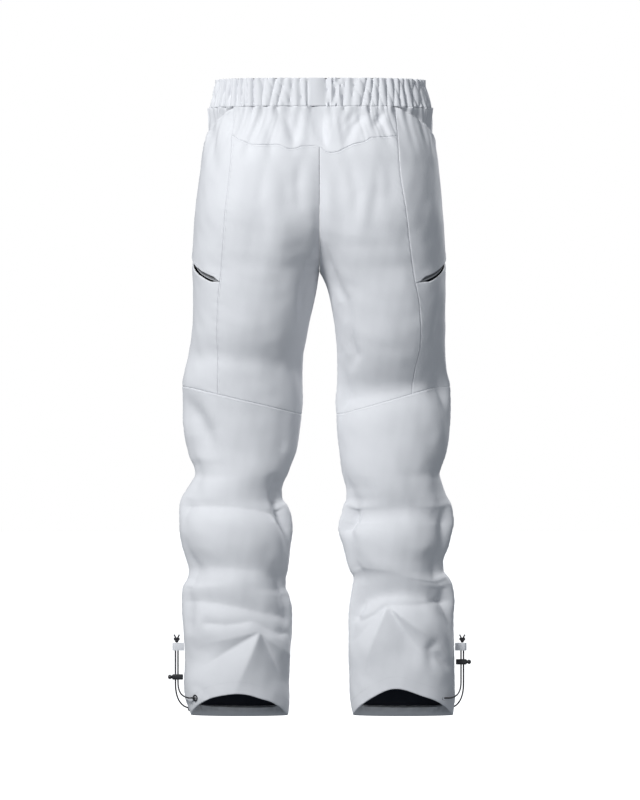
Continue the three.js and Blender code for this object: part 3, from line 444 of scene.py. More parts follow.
FRONT_CREASES = [
    ([(-216, -452), (-120, -466), (-28, -456)], 5, 26, 20, 8, 0),
    ([(26, -458), (120, -468), (210, -450)], 5, 24, 22, 8, 0),
    ([(-214, -600), (-130, -612), (-40, -604)], 6, 30, 18, 4, 0),
    ([(34, -604), (120, -618), (200, -606)], 6, 30, 18, 4, 0),
    ([(-222, -694), (-140, -704), (-40, -696)], 6, 30, 16, 4, 0.3),
    ([(30, -700), (120, -708), (214, -692)], 6, 30, 16, 4, 0.3),
    ([(-214, -796), (-140, -806), (-48, -800)], 6, 32, 14, 3, 0.3),
    ([(48, -792), (130, -802), (206, -796)], 6, 32, 14, 3, 0.3),
    ([(-216, -858), (-140, -868), (-42, -860)], 5, 20, 12, 2, 0.5),
    ([(44, -852), (130, -864), (214, -858)], 5, 20, 12, 2, 0.5),
]
EYELETS = [sum(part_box(f"{label}_{which}_eyelet"), Vector()) / 2
           for label in SIDES for which in ("back", "front")]
rng = np.random.default_rng(7)
around = np.linspace(-math.pi, math.pi, 721)
WAIST_REACH, WAIST_DEPTH = 168, 75
oval = np.stack([WAIST_REACH * np.cos(around), WAIST_DEPTH * np.sin(around)], 1)
OVAL_ANGLE = np.arctan2(oval[:, 1], oval[:, 0])
OVAL_RUN = np.concatenate([[0], np.cumsum(np.linalg.norm(np.diff(oval, axis=0), axis=1))])


def waist_run(x, y):
    """How far round the waist a point lies, in millimetres."""
    return np.interp(np.arctan2(y, x), OVAL_ANGLE, OVAL_RUN)


# Long weak waves through all the cloth, then pleats that fade out below the waistband.
drift_waves = [(rng.normal(size=3) * (1, 1, 0.4) * 2 * math.pi / wave,
                rng.uniform(0, 2 * math.pi), height)
               for wave, height in [(150, 0.8), (110, 0.7), (80, 0.55), (60, 0.45), (45, 0.35),
                                    (34, 0.28), (24, 0.16), (18, 0.12)] for _ in range(2)]
pleat_waves = [(wave, rng.uniform(0, 2 * math.pi), rng.normal() * 0.10, height, reach)
               for wave, height, reach in [(13, 0.9, 22), (17, 0.9, 30), (23, 0.9, 44),
                                           (31, 0.8, 62), (43, 0.8, 90)] for _ in range(2)]


FAN_REACH = 130              # past this a fan has faded out
DRIFT_SHARE, PLEAT_SHARE = 0.3, 0.9
EYELET_CALM = 15             # the cloth lies flat this far round an eyelet
FOLD_SCALE = 1.3             # every fold is made this much higher than its number says


def folds(points, outward):
    """How far the cloth stands off the body surface, in metres."""
    x, y, z = (points[..., i] / MM for i in range(3))
    behind = smoothstep(-outward[..., 1], 0.02, 0.5)
    before = smoothstep(outward[..., 1], 0.02, 0.5)
    height = np.zeros(x.shape)
    for weight, hollows, creases in ((behind, BACK_HOLLOWS, BACK_CREASES),
                                     (before, FRONT_HOLLOWS, FRONT_CREASES)):
        if weight.max() == 0:
            continue
        total = np.zeros(x.shape)
        for line, depth, width in hollows:
            xs, zs = zip(*line)
            near = ((x > min(xs) - 3 * width) & (x < max(xs) + 3 * width)
                    & (z > min(zs) - 3 * width) & (z < max(zs) + 3 * width))
            if near.any():
                total[near] += hollow(x[near], z[near], line, depth, width)
        for line, depth, above, below, soft, lip in creases:
            xs, zs = zip(*line)
            near = ((x > min(xs) - 18) & (x < max(xs) + 18) & (z > min(zs) - 5 * below)
                    & (z < max(zs) + 5 * above))
            if near.any():
                total[near] += across(x[near], z[near], line, depth, above, below, soft, lip)
        if creases is BACK_CREASES:
            for apex, spokes, depth in BACK_FANS:
                near = np.hypot(x - apex[0], z - apex[1]) < FAN_REACH
                if near.any():
                    total[near] += fan(x[near], z[near], apex, spokes, depth)
        height += weight * total
    calm = 1 - np.exp(-(x / 42) ** 2) * (y > 0) * smoothstep(z, -235, -200)
    waves = sum(h * np.sin(x * k[0] + y * k[1] + z * k[2] + p) for k, p, h in drift_waves)
    height += DRIFT_SHARE * waves * calm
    drop = -z
    pleats = sum(h * np.exp(-(drop - 45) / reach) * np.sin(
        2 * math.pi * (waist_run(x, y) + lean * drop) / wave + p)
        for wave, p, lean, h, reach in pleat_waves)
    height += PLEAT_SHARE * pleats * calm * smoothstep(-drop, -200, -60)
    height *= 1 - np.exp(-(x / 9) ** 2 - ((z + CROTCH) / 18) ** 2)
    for eyelet in EYELETS:
        off = np.linalg.norm(points - np.array(eyelet), axis=-1) / MM
        height *= 1 - np.exp(-(off / EYELET_CALM) ** 4)
    return height * FOLD_SCALE * MM


print("folds:", len(BACK_HOLLOWS + BACK_CREASES + BACK_FANS), "behind,",
      len(FRONT_HOLLOWS + FRONT_CREASES), "before")

# %% [markdown]
# ## Panels
# A panel is a closed sheet 1.5 mm thick: an outer grid, an inner grid and a rim. Its grid is
# finer near the edges, where the cloth turns down into the seam. The shell cloth has a black
# fleece back, so the inner grid takes the lining's finish.

# %% Sheets of cloth
FABRIC = 1.5 * MM
PITCH = 2.6 * MM
GAP = 0.12 * MM              # between two panels' edges in a seam
LEG_RADIUS = 0.085
EASE = GAP / LEG_RADIUS * 0.5        # half that gap, as an angle about a leg's axis


def spread(length, pitch=PITCH):
    """Shares of a length: even in the middle and close together near the two ends."""
    near = np.array([0, 0.5, 1.1, 1.9, 3.0]) * MM
    inside = length - 2 * near[-1]
    middle = np.linspace(near[-1], length - near[-1], max(2, round(inside / pitch)) + 1)[1:-1]
    return np.concatenate([near, middle, length - near[::-1]]) / length


def turn_down(distance, radius=1.0 * MM, reach=2.4 * MM):
    """How far an edge turns down at a distance from the seam."""
    t = np.clip(1 - distance / reach, 0, 1)
    return radius * (1 - np.sqrt(1 - t**2 * 0.98))


def sheet_object(name, outer, inner, slot, lining_slot=None, closed=False):
    """A closed sheet between two grids of points with the same rows and columns."""
    rows, columns = outer.shape[:2]
    grid = np.arange(rows * columns).reshape(rows, columns)
    if closed:
        grid = np.hstack([grid, grid[:, :1]])
    a, b, c, d = grid[:-1, :-1], grid[:-1, 1:], grid[1:, 1:], grid[1:, :-1]
    top = np.stack([a, b, c, d], -1).reshape(-1, 4)
    n = rows * columns
    loops = [grid[0], grid[-1][::-1]]
    if not closed:
        loops += [grid[:, -1], grid[:, 0][::-1]]
    rim = [np.stack([e[1:], e[:-1], e[:-1] + n, e[1:] + n], -1) for e in loops]
    faces = np.vstack([top, top[:, ::-1] + n] + rim)
    points = np.vstack([outer.reshape(-1, 3), inner.reshape(-1, 3)])
    p = points[faces[:len(top)]]
    centre = p.mean(1)
    away = centre - points[n:][grid[:-1, :-1].reshape(-1)]
    face_out = np.cross(p[:, 2] - p[:, 0], p[:, 3] - p[:, 1])
    if (face_out * away).sum() < 0:
        faces = faces[:, ::-1]
    mesh = bpy.data.meshes.new(name)
    mesh.from_pydata(points.tolist(), [], faces.tolist())
    mesh.polygons.foreach_set("use_smooth", [True] * len(faces))
    if lining_slot:
        kinds = np.zeros(len(faces), np.int32)
        kinds[len(top):2 * len(top)] = 1
        mesh.polygons.foreach_set("material_index", kinds)
    mesh.update()
    piece = bpy.data.objects.new(name, mesh)
    bpy.context.scene.collection.objects.link(piece)
    deselect()
    piece.select_set(True)
    bpy.context.view_layer.objects.active = piece
    bpy.ops.object.shade_smooth_by_angle(angle=math.radians(55))
    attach(piece, "garment")
    worn_by[piece.name] = (slot, lining_slot) if lining_slot else slot
    return piece


def lay(half, start, end, top, bottom, us, vs):
    """Angles, heights, points and outward directions of a panel's grid on one half."""
    first, last = float(np.max(top(0.0))), float(np.min(bottom(0.0)))
    level = (first + (last - first) * vs)[:, None] * np.ones(len(us))[None]
    angle = np.zeros_like(level)
    z = level.copy()
    bend = min(0.11, 0.49 * (first - last))
    for _ in range(6):
        angle = start(z) + (end(z) - start(z)) * us[None]
        high = smoothstep(level, first - bend, first)
        low = 1 - smoothstep(level, last, last + bend)
        z = level + (top(angle) - first) * high + (bottom(angle) - last) * low
    return angle, z, half.surface(angle, z), half.outward(angle, z)


def cloth_panel(name, pieces, slot="shell", lining="lining", extra=None, seams="tblr",
                sag=None, offset=0.0, thick=FABRIC, folded=1.0, radius=1.0 * MM):
    """Joins the grids of one or two halves, adds folds and turned edges, and makes the sheet."""
    angle, z, base, outward = (np.concatenate([p[i] for p in pieces], 1) for i in range(4))
    run = np.cumsum(np.linalg.norm(np.diff(base, axis=1), axis=-1), axis=1)
    run = np.hstack([np.zeros((len(run), 1)), run])
    fall = np.cumsum(np.linalg.norm(np.diff(base, axis=0), axis=-1), axis=0)
    fall = np.vstack([np.zeros((1, fall.shape[1])), fall])
    edges = {"l": run, "r": run[:, -1:] - run, "t": fall, "b": fall[-1:] - fall}
    height = folds(base, outward) * folded
    nearest = np.full(height.shape, 1.0)
    for side in seams:
        nearest = np.minimum(nearest, edges[side])
    along = base[..., 0] + base[..., 1] + base[..., 2]
    pucker = 0.28 * MM * np.sin(along / (2.1 * MM)) * np.exp(-nearest / (5 * MM))
    height += pucker * (folded > 0) - turn_down(nearest, radius)
    if extra is not None:
        height += extra(angle, z, base, edges)
    outer = base + outward * (height + offset)[..., None]
    if sag is not None:
        outer[..., 2] += sag(base, z, edges)
    inner = outer - outward * thick
    piece = sheet_object(name, outer, inner, slot, lining)
    print(name, "rows and columns:", height.shape)
    return piece


# %% [markdown]
# ## Seam lines
# The back yoke is one piece with a shallow wavy V for its lower edge. The side panels run
# from the hand pockets to the knee seam, which tilts down to the inside. The hems arch up
# over the heels.

# %% Seam lines
BAND = -45 * MM
YOKE_LINE = smooth(*zip(*[
    (-150, -90), (-137, -90.5), (-126, -97), (-110, -103), (-97, -106), (-70, -105), (-47, -112.5),
    (-37, -112), (-26, -108.5), (-7, -108), (1, -110), (9, -116), (17, -119), (28, -118),
    (40, -111.5), (51, -106.5), (72, -101), (82, -95.5), (121, -93), (140, -93)]))


def yoke_seam(half):
    def at(angle):
        z = np.full(np.shape(angle), -0.109)
        for _ in range(5):
            z = YOKE_LINE(half.surface(angle, z)[..., 0] / MM) * MM
        return z

    return at


def knee_seam(angle):
    return (-507 + 22 * np.cos(angle)) * MM


def hem_edge(half):
    lift, centre, width = HEM_ARCH[half.label]

    def at(angle):
        behind = np.maximum(0, -np.sin(angle))
        x = 130.5 + 83 * np.cos(angle)
        wave = 1.2 * np.sin(3 * angle + half.sign) + 0.8 * np.sin(7 * angle + 1)
        return (-1005 + 35 * behind**1.5 - 5 * np.maximum(0, np.sin(angle))
                + lift * behind * np.exp(-((x - centre) / width) ** 2)
                + wave * smoothstep(behind, 0.75, 0.95)) * MM

    return at


def pocket_mouth(half):
    start = -half.seam(BAND)
    return lambda angle: BAND - 0.8 * MM - 50 * MM * np.maximum(0, (angle - start) / -start)


def flat(level):
    """An edge that keeps one height at every angle, or one angle at every height."""
    return lambda along: level + 0 * along


TILT = math.radians(23.6)
ZIP_DROP = -287 * MM
# How far each lip of a thigh slit opens, millimetres, between which two angles, degrees.
UPPER_LIP = [(4.9, -57, -48)]
LOWER_LIP = [(1.6, -57, -52), (2.8, -52, -43)]
SLIT_CLOSES = (38.5, 43)
UPRIGHT = 1.09               # a gap across the slant, measured upright
CLOSED_GAP = 0.06            # what each lip keeps where the slit is closed


def slit(half, way):
    """The thigh zip's upper (way 1) or lower (way -1) lip, as a height for each angle."""
    def at(angle):
        y = half.surface(angle, np.full(np.shape(angle), ZIP_DROP))[..., 1]
        degrees = np.degrees(angle)
        opening = sum(width * smoothstep(degrees, first, last)
                      for width, first, last in (UPPER_LIP if way > 0 else LOWER_LIP))
        half_gap = opening * (1 - smoothstep(degrees, *SLIT_CLOSES))
        return ZIP_DROP + y * math.tan(TILT) + way * (half_gap * UPRIGHT + CLOSED_GAP) * MM

    return at


# %% [markdown]
# ## Making the panels
# The yoke, the seats and the fronts with the fly come first, then the side panels and the
# lower legs. Two pieces of a seam end on the same line, and both turn down into it. The
# waistband's gathers run out into the cloth below it, so their shape is defined here.

# %% Back yoke, seats and fronts
def back_seam(half):
    return lambda z: -half.seam(z)


FRONT_SEAM_TURN = math.radians(7)    # how much further out than the back seam it lies


def front_seam(half):
    return lambda z: half.seam(z) - FRONT_SEAM_TURN


def back_middle(half):
    return lambda z: -half.centre(z) + EASE


def front_middle(half, fly=False):
    def at(z):
        gap = 4.3 * MM * smoothstep(z, -196 * MM, -190 * MM) if fly else 0.0 * z
        return half.centre(z, gap) - EASE

    return at


GATHER = 8.0 * MM            # what every part of a gather's height is a share of


def gathers(base, z, share=1.0):
    """The gathers' height, in metres, from the place round the waist and the height."""
    run = waist_run(base[..., 0], base[..., 1])
    v = (z / BAND - 0.5) * 2
    wander = 3.0 * np.sin(run / 17 + 1.3) + 1.6 * np.sin(run / 7.3 + 0.4)
    lean = 3.2 * np.sin(run / 23 + 2) + 2.0 * np.sin(run / 9.7)
    big = np.abs(np.sin((run + wander + lean * v) / 11.8 * math.pi)) ** 0.6
    cross = np.abs(np.sin((run - (2.2 * lean + 4) * v + 0.6 * wander) / 14.9 * math.pi)) ** 0.8
    fine = np.abs(np.sin((run + 1.3 * np.sin(run / 3.1)) / 6.9 * math.pi)) * np.abs(v) ** 3
    strength = 0.8 + 0.2 * np.sin(run / 31 + 0.7)
    x = base[..., 0] / MM
    keep = np.where(base[..., 1] < 0, smoothstep(np.abs(x + 6), 9, 16),
                    smoothstep(np.abs(x + 3), 34, 44))
    return GATHER * share * (0.62 * big + 0.45 * cross + 0.2 * fine - 0.78) * strength * keep


def top_pleats(angle, z, base, edges):
    """Under the waistband the gathers run out into the cloth."""
    fall = edges["t"] / MM
    return gathers(base, BAND * (1 + fall / 90)) * (
        0.6 * np.clip(1 - fall / 16, 0, 1) ** 2 + 0.4 * np.exp(-fall / 26))


def over_middle(side_edge, top, bottom, columns, rows):
    """Grids of one piece that crosses the middle of the back, without fine columns there."""
    parts = []
    for label, half in halves.items():
        start, end = side_edge(half), lambda z, h=half: -h.centre(z)
        if label == "right":
            start, end = end, start
        parts.append(lay(half, start, end, top, bottom(half), columns, rows))
    return [tuple(a[:, :-5] for a in parts[0]), tuple(a[:, 4:] for a in parts[1])]


WAIST_TOP = flat(BAND - 0.2 * MM)
yoke = cloth_panel("back_yoke_cloth", over_middle(
    back_seam, WAIST_TOP, yoke_seam, spread(0.15), spread(0.072)), extra=top_pleats)
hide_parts("back_yoke")
for label, half in halves.items():
    seat = cloth_panel(f"{label}_seat_cloth", [lay(
        half, back_middle(half), back_seam(half), yoke_seam(half), knee_seam,
        spread(0.16), spread(0.41))])
    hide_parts(f"{label}_seat_panel")
    front = cloth_panel(f"{label}_front_cloth", [lay(
        half, front_seam(half), front_middle(half, True), WAIST_TOP, knee_seam,
        spread(0.16), spread(0.46))], extra=top_pleats)
    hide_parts(f"{label}_front_panel")

# %% [markdown]
# The side panel is made in two parts that meet on the thigh zip's line. Away from the zip
# they lie edge to edge, and at the zip their lips stand apart and show the tape.

# %% Side panels, hand pockets and lower legs
def welt(angle, z, base, edges):
    """The upper lip of the thigh pocket stands a little proud."""
    return 0.9 * MM * np.exp(-edges["b"] / (7 * MM)) * smoothstep(np.degrees(angle), -70, -50) * (
        1 - smoothstep(np.degrees(angle), 40, 46))


def sunk_facing(mouth):
    def at(angle, z, base, edges):
        share = np.clip((BAND - z) / (BAND - mouth(angle) + 0.1 * MM), 0, 1)
        sunk = 4.4 * MM * smoothstep(share, 0.05, 0.95)
        return top_pleats(angle, z, base, edges) * (1 - 0.5 * share) - sunk
    return at


for label, half in halves.items():
    zip_upper, zip_lower = slit(half, 1), slit(half, -1)
    above = cloth_panel(f"{label}_side_cloth_upper", [lay(
        half, back_seam(half), front_seam(half), pocket_mouth(half), zip_upper,
        spread(0.19), spread(0.20))], extra=welt)
    cloth_panel(f"{label}_side_cloth_lower", [lay(
        half, back_seam(half), front_seam(half), zip_lower, knee_seam,
        spread(0.19), spread(0.20))])
    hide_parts(f"{label}_side_panel")
    mouth = pocket_mouth(half)
    facing = cloth_panel(f"{label}_hip_facing_cloth", [lay(
        half, back_seam(half), front_seam(half), WAIST_TOP,
        lambda angle, m=mouth: m(angle) - 22 * MM, spread(0.19), spread(0.07))],
        extra=sunk_facing(mouth), offset=-0.3 * MM)
    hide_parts(f"{label}_hip_facing")
    for place, start, end in (("calf", -math.pi, 0.0), ("shin", 0.0, math.pi)):
        piece = cloth_panel(f"{label}_{place}_cloth", [lay(
            half, flat(start + EASE), flat(end - EASE), knee_seam, hem_edge(half),
            spread(0.23), spread(0.50))])
        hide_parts(f"{label}_{place}_panel")

# %% [markdown]
# ## Waistband
# The band is one strip, gathered by the elastic inside it. Each gather is a rounded puff
# between two sharp valleys, and the puffs lean and wander. At the centre back a patch stays
# flat, with an upright seam in it. At the top edge the dark lining shows in the valleys.

# %% Waistband
def taper(z):
    return -3.4 * MM * (1 - z / BAND)


def band_extra(angle, z, base, edges):
    v = np.clip(z / BAND, 0, 1)
    groove = 0.9 * MM * np.exp(-((base[..., 0] / MM + 4) / 0.9) ** 2) * (base[..., 1] < 0)
    return gathers(base, z) + 0.8 * MM * np.sin(math.pi * v) ** 0.7 + taper(z) - groove


def band_sag(base, z, edges):
    """The top edge dips between the puffs."""
    dip = np.clip(-1.5 * gathers(base, z) / (5 * MM), 0, 1)
    return -3.2 * MM * dip * np.exp(-edges["t"] / (4 * MM))


def band_parts(top, bottom, rows, wide=0.47, pitch=1.35 * MM):
    return over_middle(lambda half: lambda z: half.centre(z, 0.5 * MM), top, lambda half: bottom,
                       spread(wide, pitch), rows)


outer_band = cloth_panel("waistband_cloth", band_parts(
    flat(-0.2 * MM), flat(BAND), spread(0.045, 1.6 * MM)),
    extra=band_extra, sag=band_sag, folded=0.0, radius=0.8 * MM, lining=None)
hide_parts("waistband_outer")


def under_band(angle, z, base, edges):
    return gathers(base, z, 0.7) + taper(z)


elastic = cloth_panel("waistband_elastic_web", band_parts(
    flat(-3 * MM), flat(BAND + 3 * MM), spread(0.039, 4 * MM), pitch=3 * MM),
    slot="elastic", lining=None, extra=under_band, offset=-3.4 * MM, thick=1.0 * MM,
    folded=0.0, seams="")
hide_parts("waistband_elastic")


band_lining = cloth_panel("waistband_lining_cloth", band_parts(
    flat(-0.6 * MM), flat(BAND), spread(0.046, 2 * MM)), slot="lining", lining=None,
    extra=under_band, offset=-5.2 * MM, thick=1.2 * MM, folded=0.0, seams="")
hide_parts("waistband_lining")

# %% [markdown]
# ## Hem facings and pocket bags
# Inside each hem a facing of the shell cloth is turned up. It stands off the leg to leave
# the channel for the cord. Through the arch at the back the facing of the front shows, and
# above it the black fleece. The pockets' bags hang inside.

# %% Inner cloth
POCKET_CLOTH = 1.0
# The facing's section: millimetres up from the hem, a share of its height, and how far it stands in.
FACING = [(0.6, 0, 1.9), (2.2, 0, 4.6), (4.5, 0, 6.7), (9, 0, 6.7), (14, 0, 6.7), (0, 0.80, 6.7),
          (0, 0.92, 3.2), (0, 1.0, 1.9)]
for label, half in halves.items():
    edge = hem_edge(half)
    columns = np.linspace(-math.pi, math.pi, 181)[:-1]
    grids = {0: [], 1: []}
    tall = 24 - 7 * smoothstep(np.sin(columns), 0.1, 0.8)
    for up, share, inward in FACING:
        rise = up + share * tall
        z = edge(columns) + rise * MM
        base, outward = half.surface(columns, z), half.outward(columns, z)
        wrinkle = (1.7 * np.sin(columns * 11 + 2 * np.sin(columns * 3) + rise * 0.16 + half.sign)
                   * smoothstep(rise, 1, 9) + 0.5 * np.sin(columns * 31 - rise * 0.2)) * smoothstep(
            np.sin(columns), -0.2, 0.3)
        depth = (inward + np.abs(wrinkle) * (inward > 3)) * MM
        shape = folds(base, outward)
        for layer, extra_depth in ((0, 0.0), (1, 1.2 * MM)):
            grids[layer].append(base + outward * (shape - depth - extra_depth)[:, None])
    facing = sheet_object(f"{label}_hem_facing_cloth", np.array(grids[0]), np.array(grids[1]),
                          "shell", closed=True)
    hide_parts(f"{label}_hem_facing")


def bag(name, half, start, end, top, bottom, rim, depth, node):
    """A tray of pocket cloth: its rim lies on the panel's back, and it hangs clear inside."""
    us, vs = np.linspace(0, 1, 44), np.linspace(0, 1, 60)
    angle, z, base, outward = lay(half, flat(start), flat(end), top, bottom, us, vs)
    edge = np.minimum(np.minimum(us, 1 - us)[None], np.minimum(vs, 1 - vs)[:, None]) / 0.12
    sink = rim + (depth - rim) * smoothstep(edge, 0, 1)
    wrinkle = 0.5 * MM * np.sin(angle * 31 + z * 90) * smoothstep(edge, 0.3, 1)
    height = np.minimum(folds(base, outward), 0) + sink + wrinkle
    outer = base + outward * height[..., None]
    piece = sheet_object(name, outer, outer - outward * POCKET_CLOTH * MM, "pocket_cloth")
    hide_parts(node)


for label, half in halves.items():
    mouth = pocket_mouth(half)
    bag_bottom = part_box(f"{label}_hand_pocket_bag")[0].z
    bag(f"{label}_hand_pocket_cloth", half, -math.radians(50), math.radians(48),
        lambda a, m=mouth: m(a) - 24 * MM, flat(bag_bottom), -4.6 * MM, -10 * MM,
        f"{label}_hand_pocket_bag")
    bag(f"{label}_thigh_pocket_cloth", half, -math.radians(68), math.radians(56),
        flat(-242 * MM), flat(-425 * MM), -3.2 * MM, -14 * MM, f"{label}_thigh_pocket_bag")

# %% [markdown]
# ## Hardware
# The zips, the snap, the eyelets and the cord locks already have their true shapes in the
# CAD model. The zips' tapes and the locks' springs stay as they are. Each of the others gets a
# copy whose flat faces are made whole again and whose edges are rounded, because moulded and
# stamped parts never have knife edges.

# %% Rounded copies of the hardware
def rounded(node, width, slot, body, angle=32):
    deselect()
    source = frame["nodes"][node]
    piece = bpy.data.objects.new(f"{node}_rounded", source.data.copy())
    bpy.context.scene.collection.objects.link(piece)
    piece.select_set(True)
    bpy.context.view_layer.objects.active = piece
    piece.data.materials.clear()
    bpy.ops.object.mode_set(mode="EDIT")
    bpy.ops.mesh.select_all(action="SELECT")
    bpy.ops.mesh.remove_doubles(threshold=0.00001)
    bpy.ops.mesh.dissolve_limited(angle_limit=math.radians(4))
    bpy.ops.object.mode_set(mode="OBJECT")
    bevel = piece.modifiers.new("edge", "BEVEL")
    bevel.width = width * MM
    bevel.segments = 3
    bevel.limit_method = "ANGLE"
    bevel.angle_limit = math.radians(angle)
    bevel.use_clamp_overlap = True
    bpy.ops.object.modifier_apply(modifier="edge")
    bpy.ops.object.shade_smooth_by_angle(angle=math.radians(35))
    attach(piece, body)
    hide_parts(node)
    worn_by[piece.name] = slot
    return piece


body_of = {node: body for body, nodes in frame["record"]["behaviour"]["bodies"].items()
           for node in nodes}
# The width of each piece's rounded edge, in millimetres, and the finish that it wears.
HARDWARE = {"fly_zip_slider": (0.22, "black_plastic"), "fly_zip_pull": (0.25, "black_plastic"),
            "snap_cap": (0.25, "snap_metal"), "snap_socket": (0.1, "snap_metal"),
            "snap_stud": (0.1, "snap_metal"), "snap_post": (0.1, "snap_metal")}
for label in SIDES:
    HARDWARE |= {
        f"{label}_thigh_zip_slider": (0.22, "black_plastic"),
        f"{label}_thigh_zip_pull": (0.25, "black_plastic"),
        f"{label}_back_eyelet": (0.12, "black_plastic"),
        f"{label}_front_eyelet": (0.12, "black_plastic"),
        f"{label}_cord_lock_body": (0.45, "black_plastic"),
        f"{label}_cord_lock_plunger": (0.2, "black_plastic"),
        f"{label}_cord_tab": (0.3, "shell")}
for node, (width, slot) in HARDWARE.items():
    rounded(node, width, slot, body_of[node])
for node in body_of:
    if node.endswith("_spring"):
        worn_by[node] = "spring_steel"
    if node.endswith("_tape"):
        worn_by[node] = "fly_zip" if node.startswith("fly") else "thigh_zip"
print("rounded:", len(HARDWARE), "pieces")

# %% [markdown]
# ## Waist tab and the guard behind the fly
# The tab closes the front of the band over the snap. It is a folded piece of shell cloth,
# pressed flat, and the guard is one layer of lining cloth sewn to the left front.

# %% Tab and guard
def softened(node, name, slot, body, width):
    """A cloth copy of a CAD sheet, under its own name and with its edges rounded."""
    piece = rounded(node, width, slot, body)
    piece.name = name
    worn_by[name] = worn_by.pop(f"{node}_rounded")
    return piece


softened("waist_tab", "waist_tab_cloth", "shell", "waist_tab", width=0.5)
softened("fly_shield", "fly_shield_cloth", "lining", "garment", width=0.3)

# %% [markdown]
# ## Stitches
# One stitch is a small spindle of thread, made from a primitive. It is copied along every
# seam that is topstitched, a little over 3 mm from one to the next, and laid on the cloth.

# %% One stitch, copied along the seams
deselect()
bpy.ops.mesh.primitive_uv_sphere_add(segments=5, ring_count=4, radius=1)
bpy.ops.transform.resize(value=(0.24 * MM, 0.24 * MM, 1.25 * MM))
bpy.ops.object.transform_apply(location=True, rotation=True, scale=True)
thread = bpy.context.object
stitch_points = np.array([v.co for v in thread.data.vertices])
stitch_faces = [list(p.vertices) for p in thread.data.polygons]
bpy.data.objects.remove(thread)
STITCH = 3.1 * MM            # from one stitch to the next
BELOW_SEAM = 3.2 * MM        # of the yoke and of the knee
BESIDE_SEAM = 0.030          # of the side panel, as an angle
ABOVE_HEM = 19.5 * MM
ABOVE_ZIP = 5.5 * MM
BELOW_MOUTH = 5 * MM


def on_cloth(half, angle, z, lift):
    base, outward = half.surface(angle, z), half.outward(angle, z)
    return base + outward * (folds(base, outward) + lift)[:, None], outward


def stitch_row(half, angle, z, lift=0.05 * MM, extra=None):
    """Places and directions of the stitches on one row."""
    path, outward = on_cloth(half, angle, z, lift if extra is None else lift + extra)
    run = np.concatenate([[0], np.cumsum(np.linalg.norm(np.diff(path, axis=0), axis=1))])
    at = np.arange(STITCH / 2, run[-1], STITCH)
    spot = np.stack([np.interp(at, run, path[:, i]) for i in range(3)], 1)
    out = np.stack([np.interp(at, run, outward[:, i]) for i in range(3)], 1)
    ahead = np.stack([np.interp(at + 0.4 * MM, run, path[:, i]) for i in range(3)], 1) - np.stack(
        [np.interp(at - 0.4 * MM, run, path[:, i]) for i in range(3)], 1)
    ahead /= np.linalg.norm(ahead, axis=1)[:, None] + 1e-12
    side = np.cross(out, ahead)
    side /= np.linalg.norm(side, axis=1)[:, None] + 1e-12
    return spot, side, np.cross(ahead, side), ahead


def stitches(name, rows):
    points, faces = [], []
    for spot, side, out, ahead in rows:
        for s, a, b, c in zip(spot, side, out, ahead):
            base = len(points) * len(stitch_points)
            points.append(s + stitch_points[:, :1] * a + stitch_points[:, 1:2] * b
                          + stitch_points[:, 2:] * c)
            faces += [[i + base for i in f] for f in stitch_faces]
    mesh = bpy.data.meshes.new(name)
    mesh.from_pydata(np.vstack(points).tolist(), [], faces)
    mesh.polygons.foreach_set("use_smooth", [True] * len(faces))
    mesh.update()
    piece = bpy.data.objects.new(name, mesh)
    bpy.context.scene.collection.objects.link(piece)
    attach(piece, "garment")
    worn_by[name] = "thread"
    print(name, "stitches:", len(points))


def angles(start, end, count=260):
    return np.linspace(start, end, count)


for label, half in halves.items():
    seam_at = half.seam(-0.1)
    a = angles(-half.centre(-0.105) * 0.995, -seam_at * 1.01)
    yoke_row = stitch_row(half, a, yoke_seam(half)(a) - BELOW_SEAM)
    a = angles(-math.pi * 0.99, math.pi * 0.99, 420)
    knee_row = stitch_row(half, a, knee_seam(a) - BELOW_SEAM)
    hem_row = stitch_row(half, a, hem_edge(half)(a) + ABOVE_HEM)
    z = np.linspace(-0.105, -0.478, 300)
    side_rows = [stitch_row(half, back_seam(half)(z) - BESIDE_SEAM, z),
                 stitch_row(half, front_seam(half)(z) + BESIDE_SEAM, z)]
    a = angles(-math.radians(58), math.radians(42))
    lip = slit(half, 1)(a)
    zip_row = stitch_row(half, a, lip + ABOVE_ZIP, extra=0.45 * MM)
    a = angles(-half.seam(BAND) * 0.96, half.seam(BAND) * 0.8)
    mouth_row = stitch_row(half, a, pocket_mouth(half)(a) - BELOW_MOUTH)
    stitches(f"{label}_stitches", [yoke_row, knee_row, hem_row, zip_row, mouth_row] + side_rows)

# %% [markdown]
# ## Finishes
# The shell is a matt bonded softshell: a tight weave with a little sheen on a soft, slightly
# uneven surface. Shader maths is written as Python expressions on wrapped sockets.

# %% A small language for shaders
class Wire:
    """A socket whose value can be used in expressions."""

    def __init__(self, finish, socket):
        self.finish, self.socket = finish, socket

    def _math(self, operation, *values):
        return self.finish.node("ShaderNodeMath", {"operation": operation}, *values)

    def __add__(self, other):
        return self._math("ADD", self, other)

    __radd__ = __add__

    def __sub__(self, other):
        return self._math("SUBTRACT", self, other)

    def __rsub__(self, other):
        return self._math("SUBTRACT", other, self)

    def __mul__(self, other):
        return self._math("MULTIPLY", self, other)

    __rmul__ = __mul__

    def __abs__(self):
        return self._math("ABSOLUTE", self)

    def __lt__(self, other):
        return self._math("LESS_THAN", self, other)

    def __gt__(self, other):
        return self._math("GREATER_THAN", self, other)

    def sine(self):
        return self._math("SINE", self)


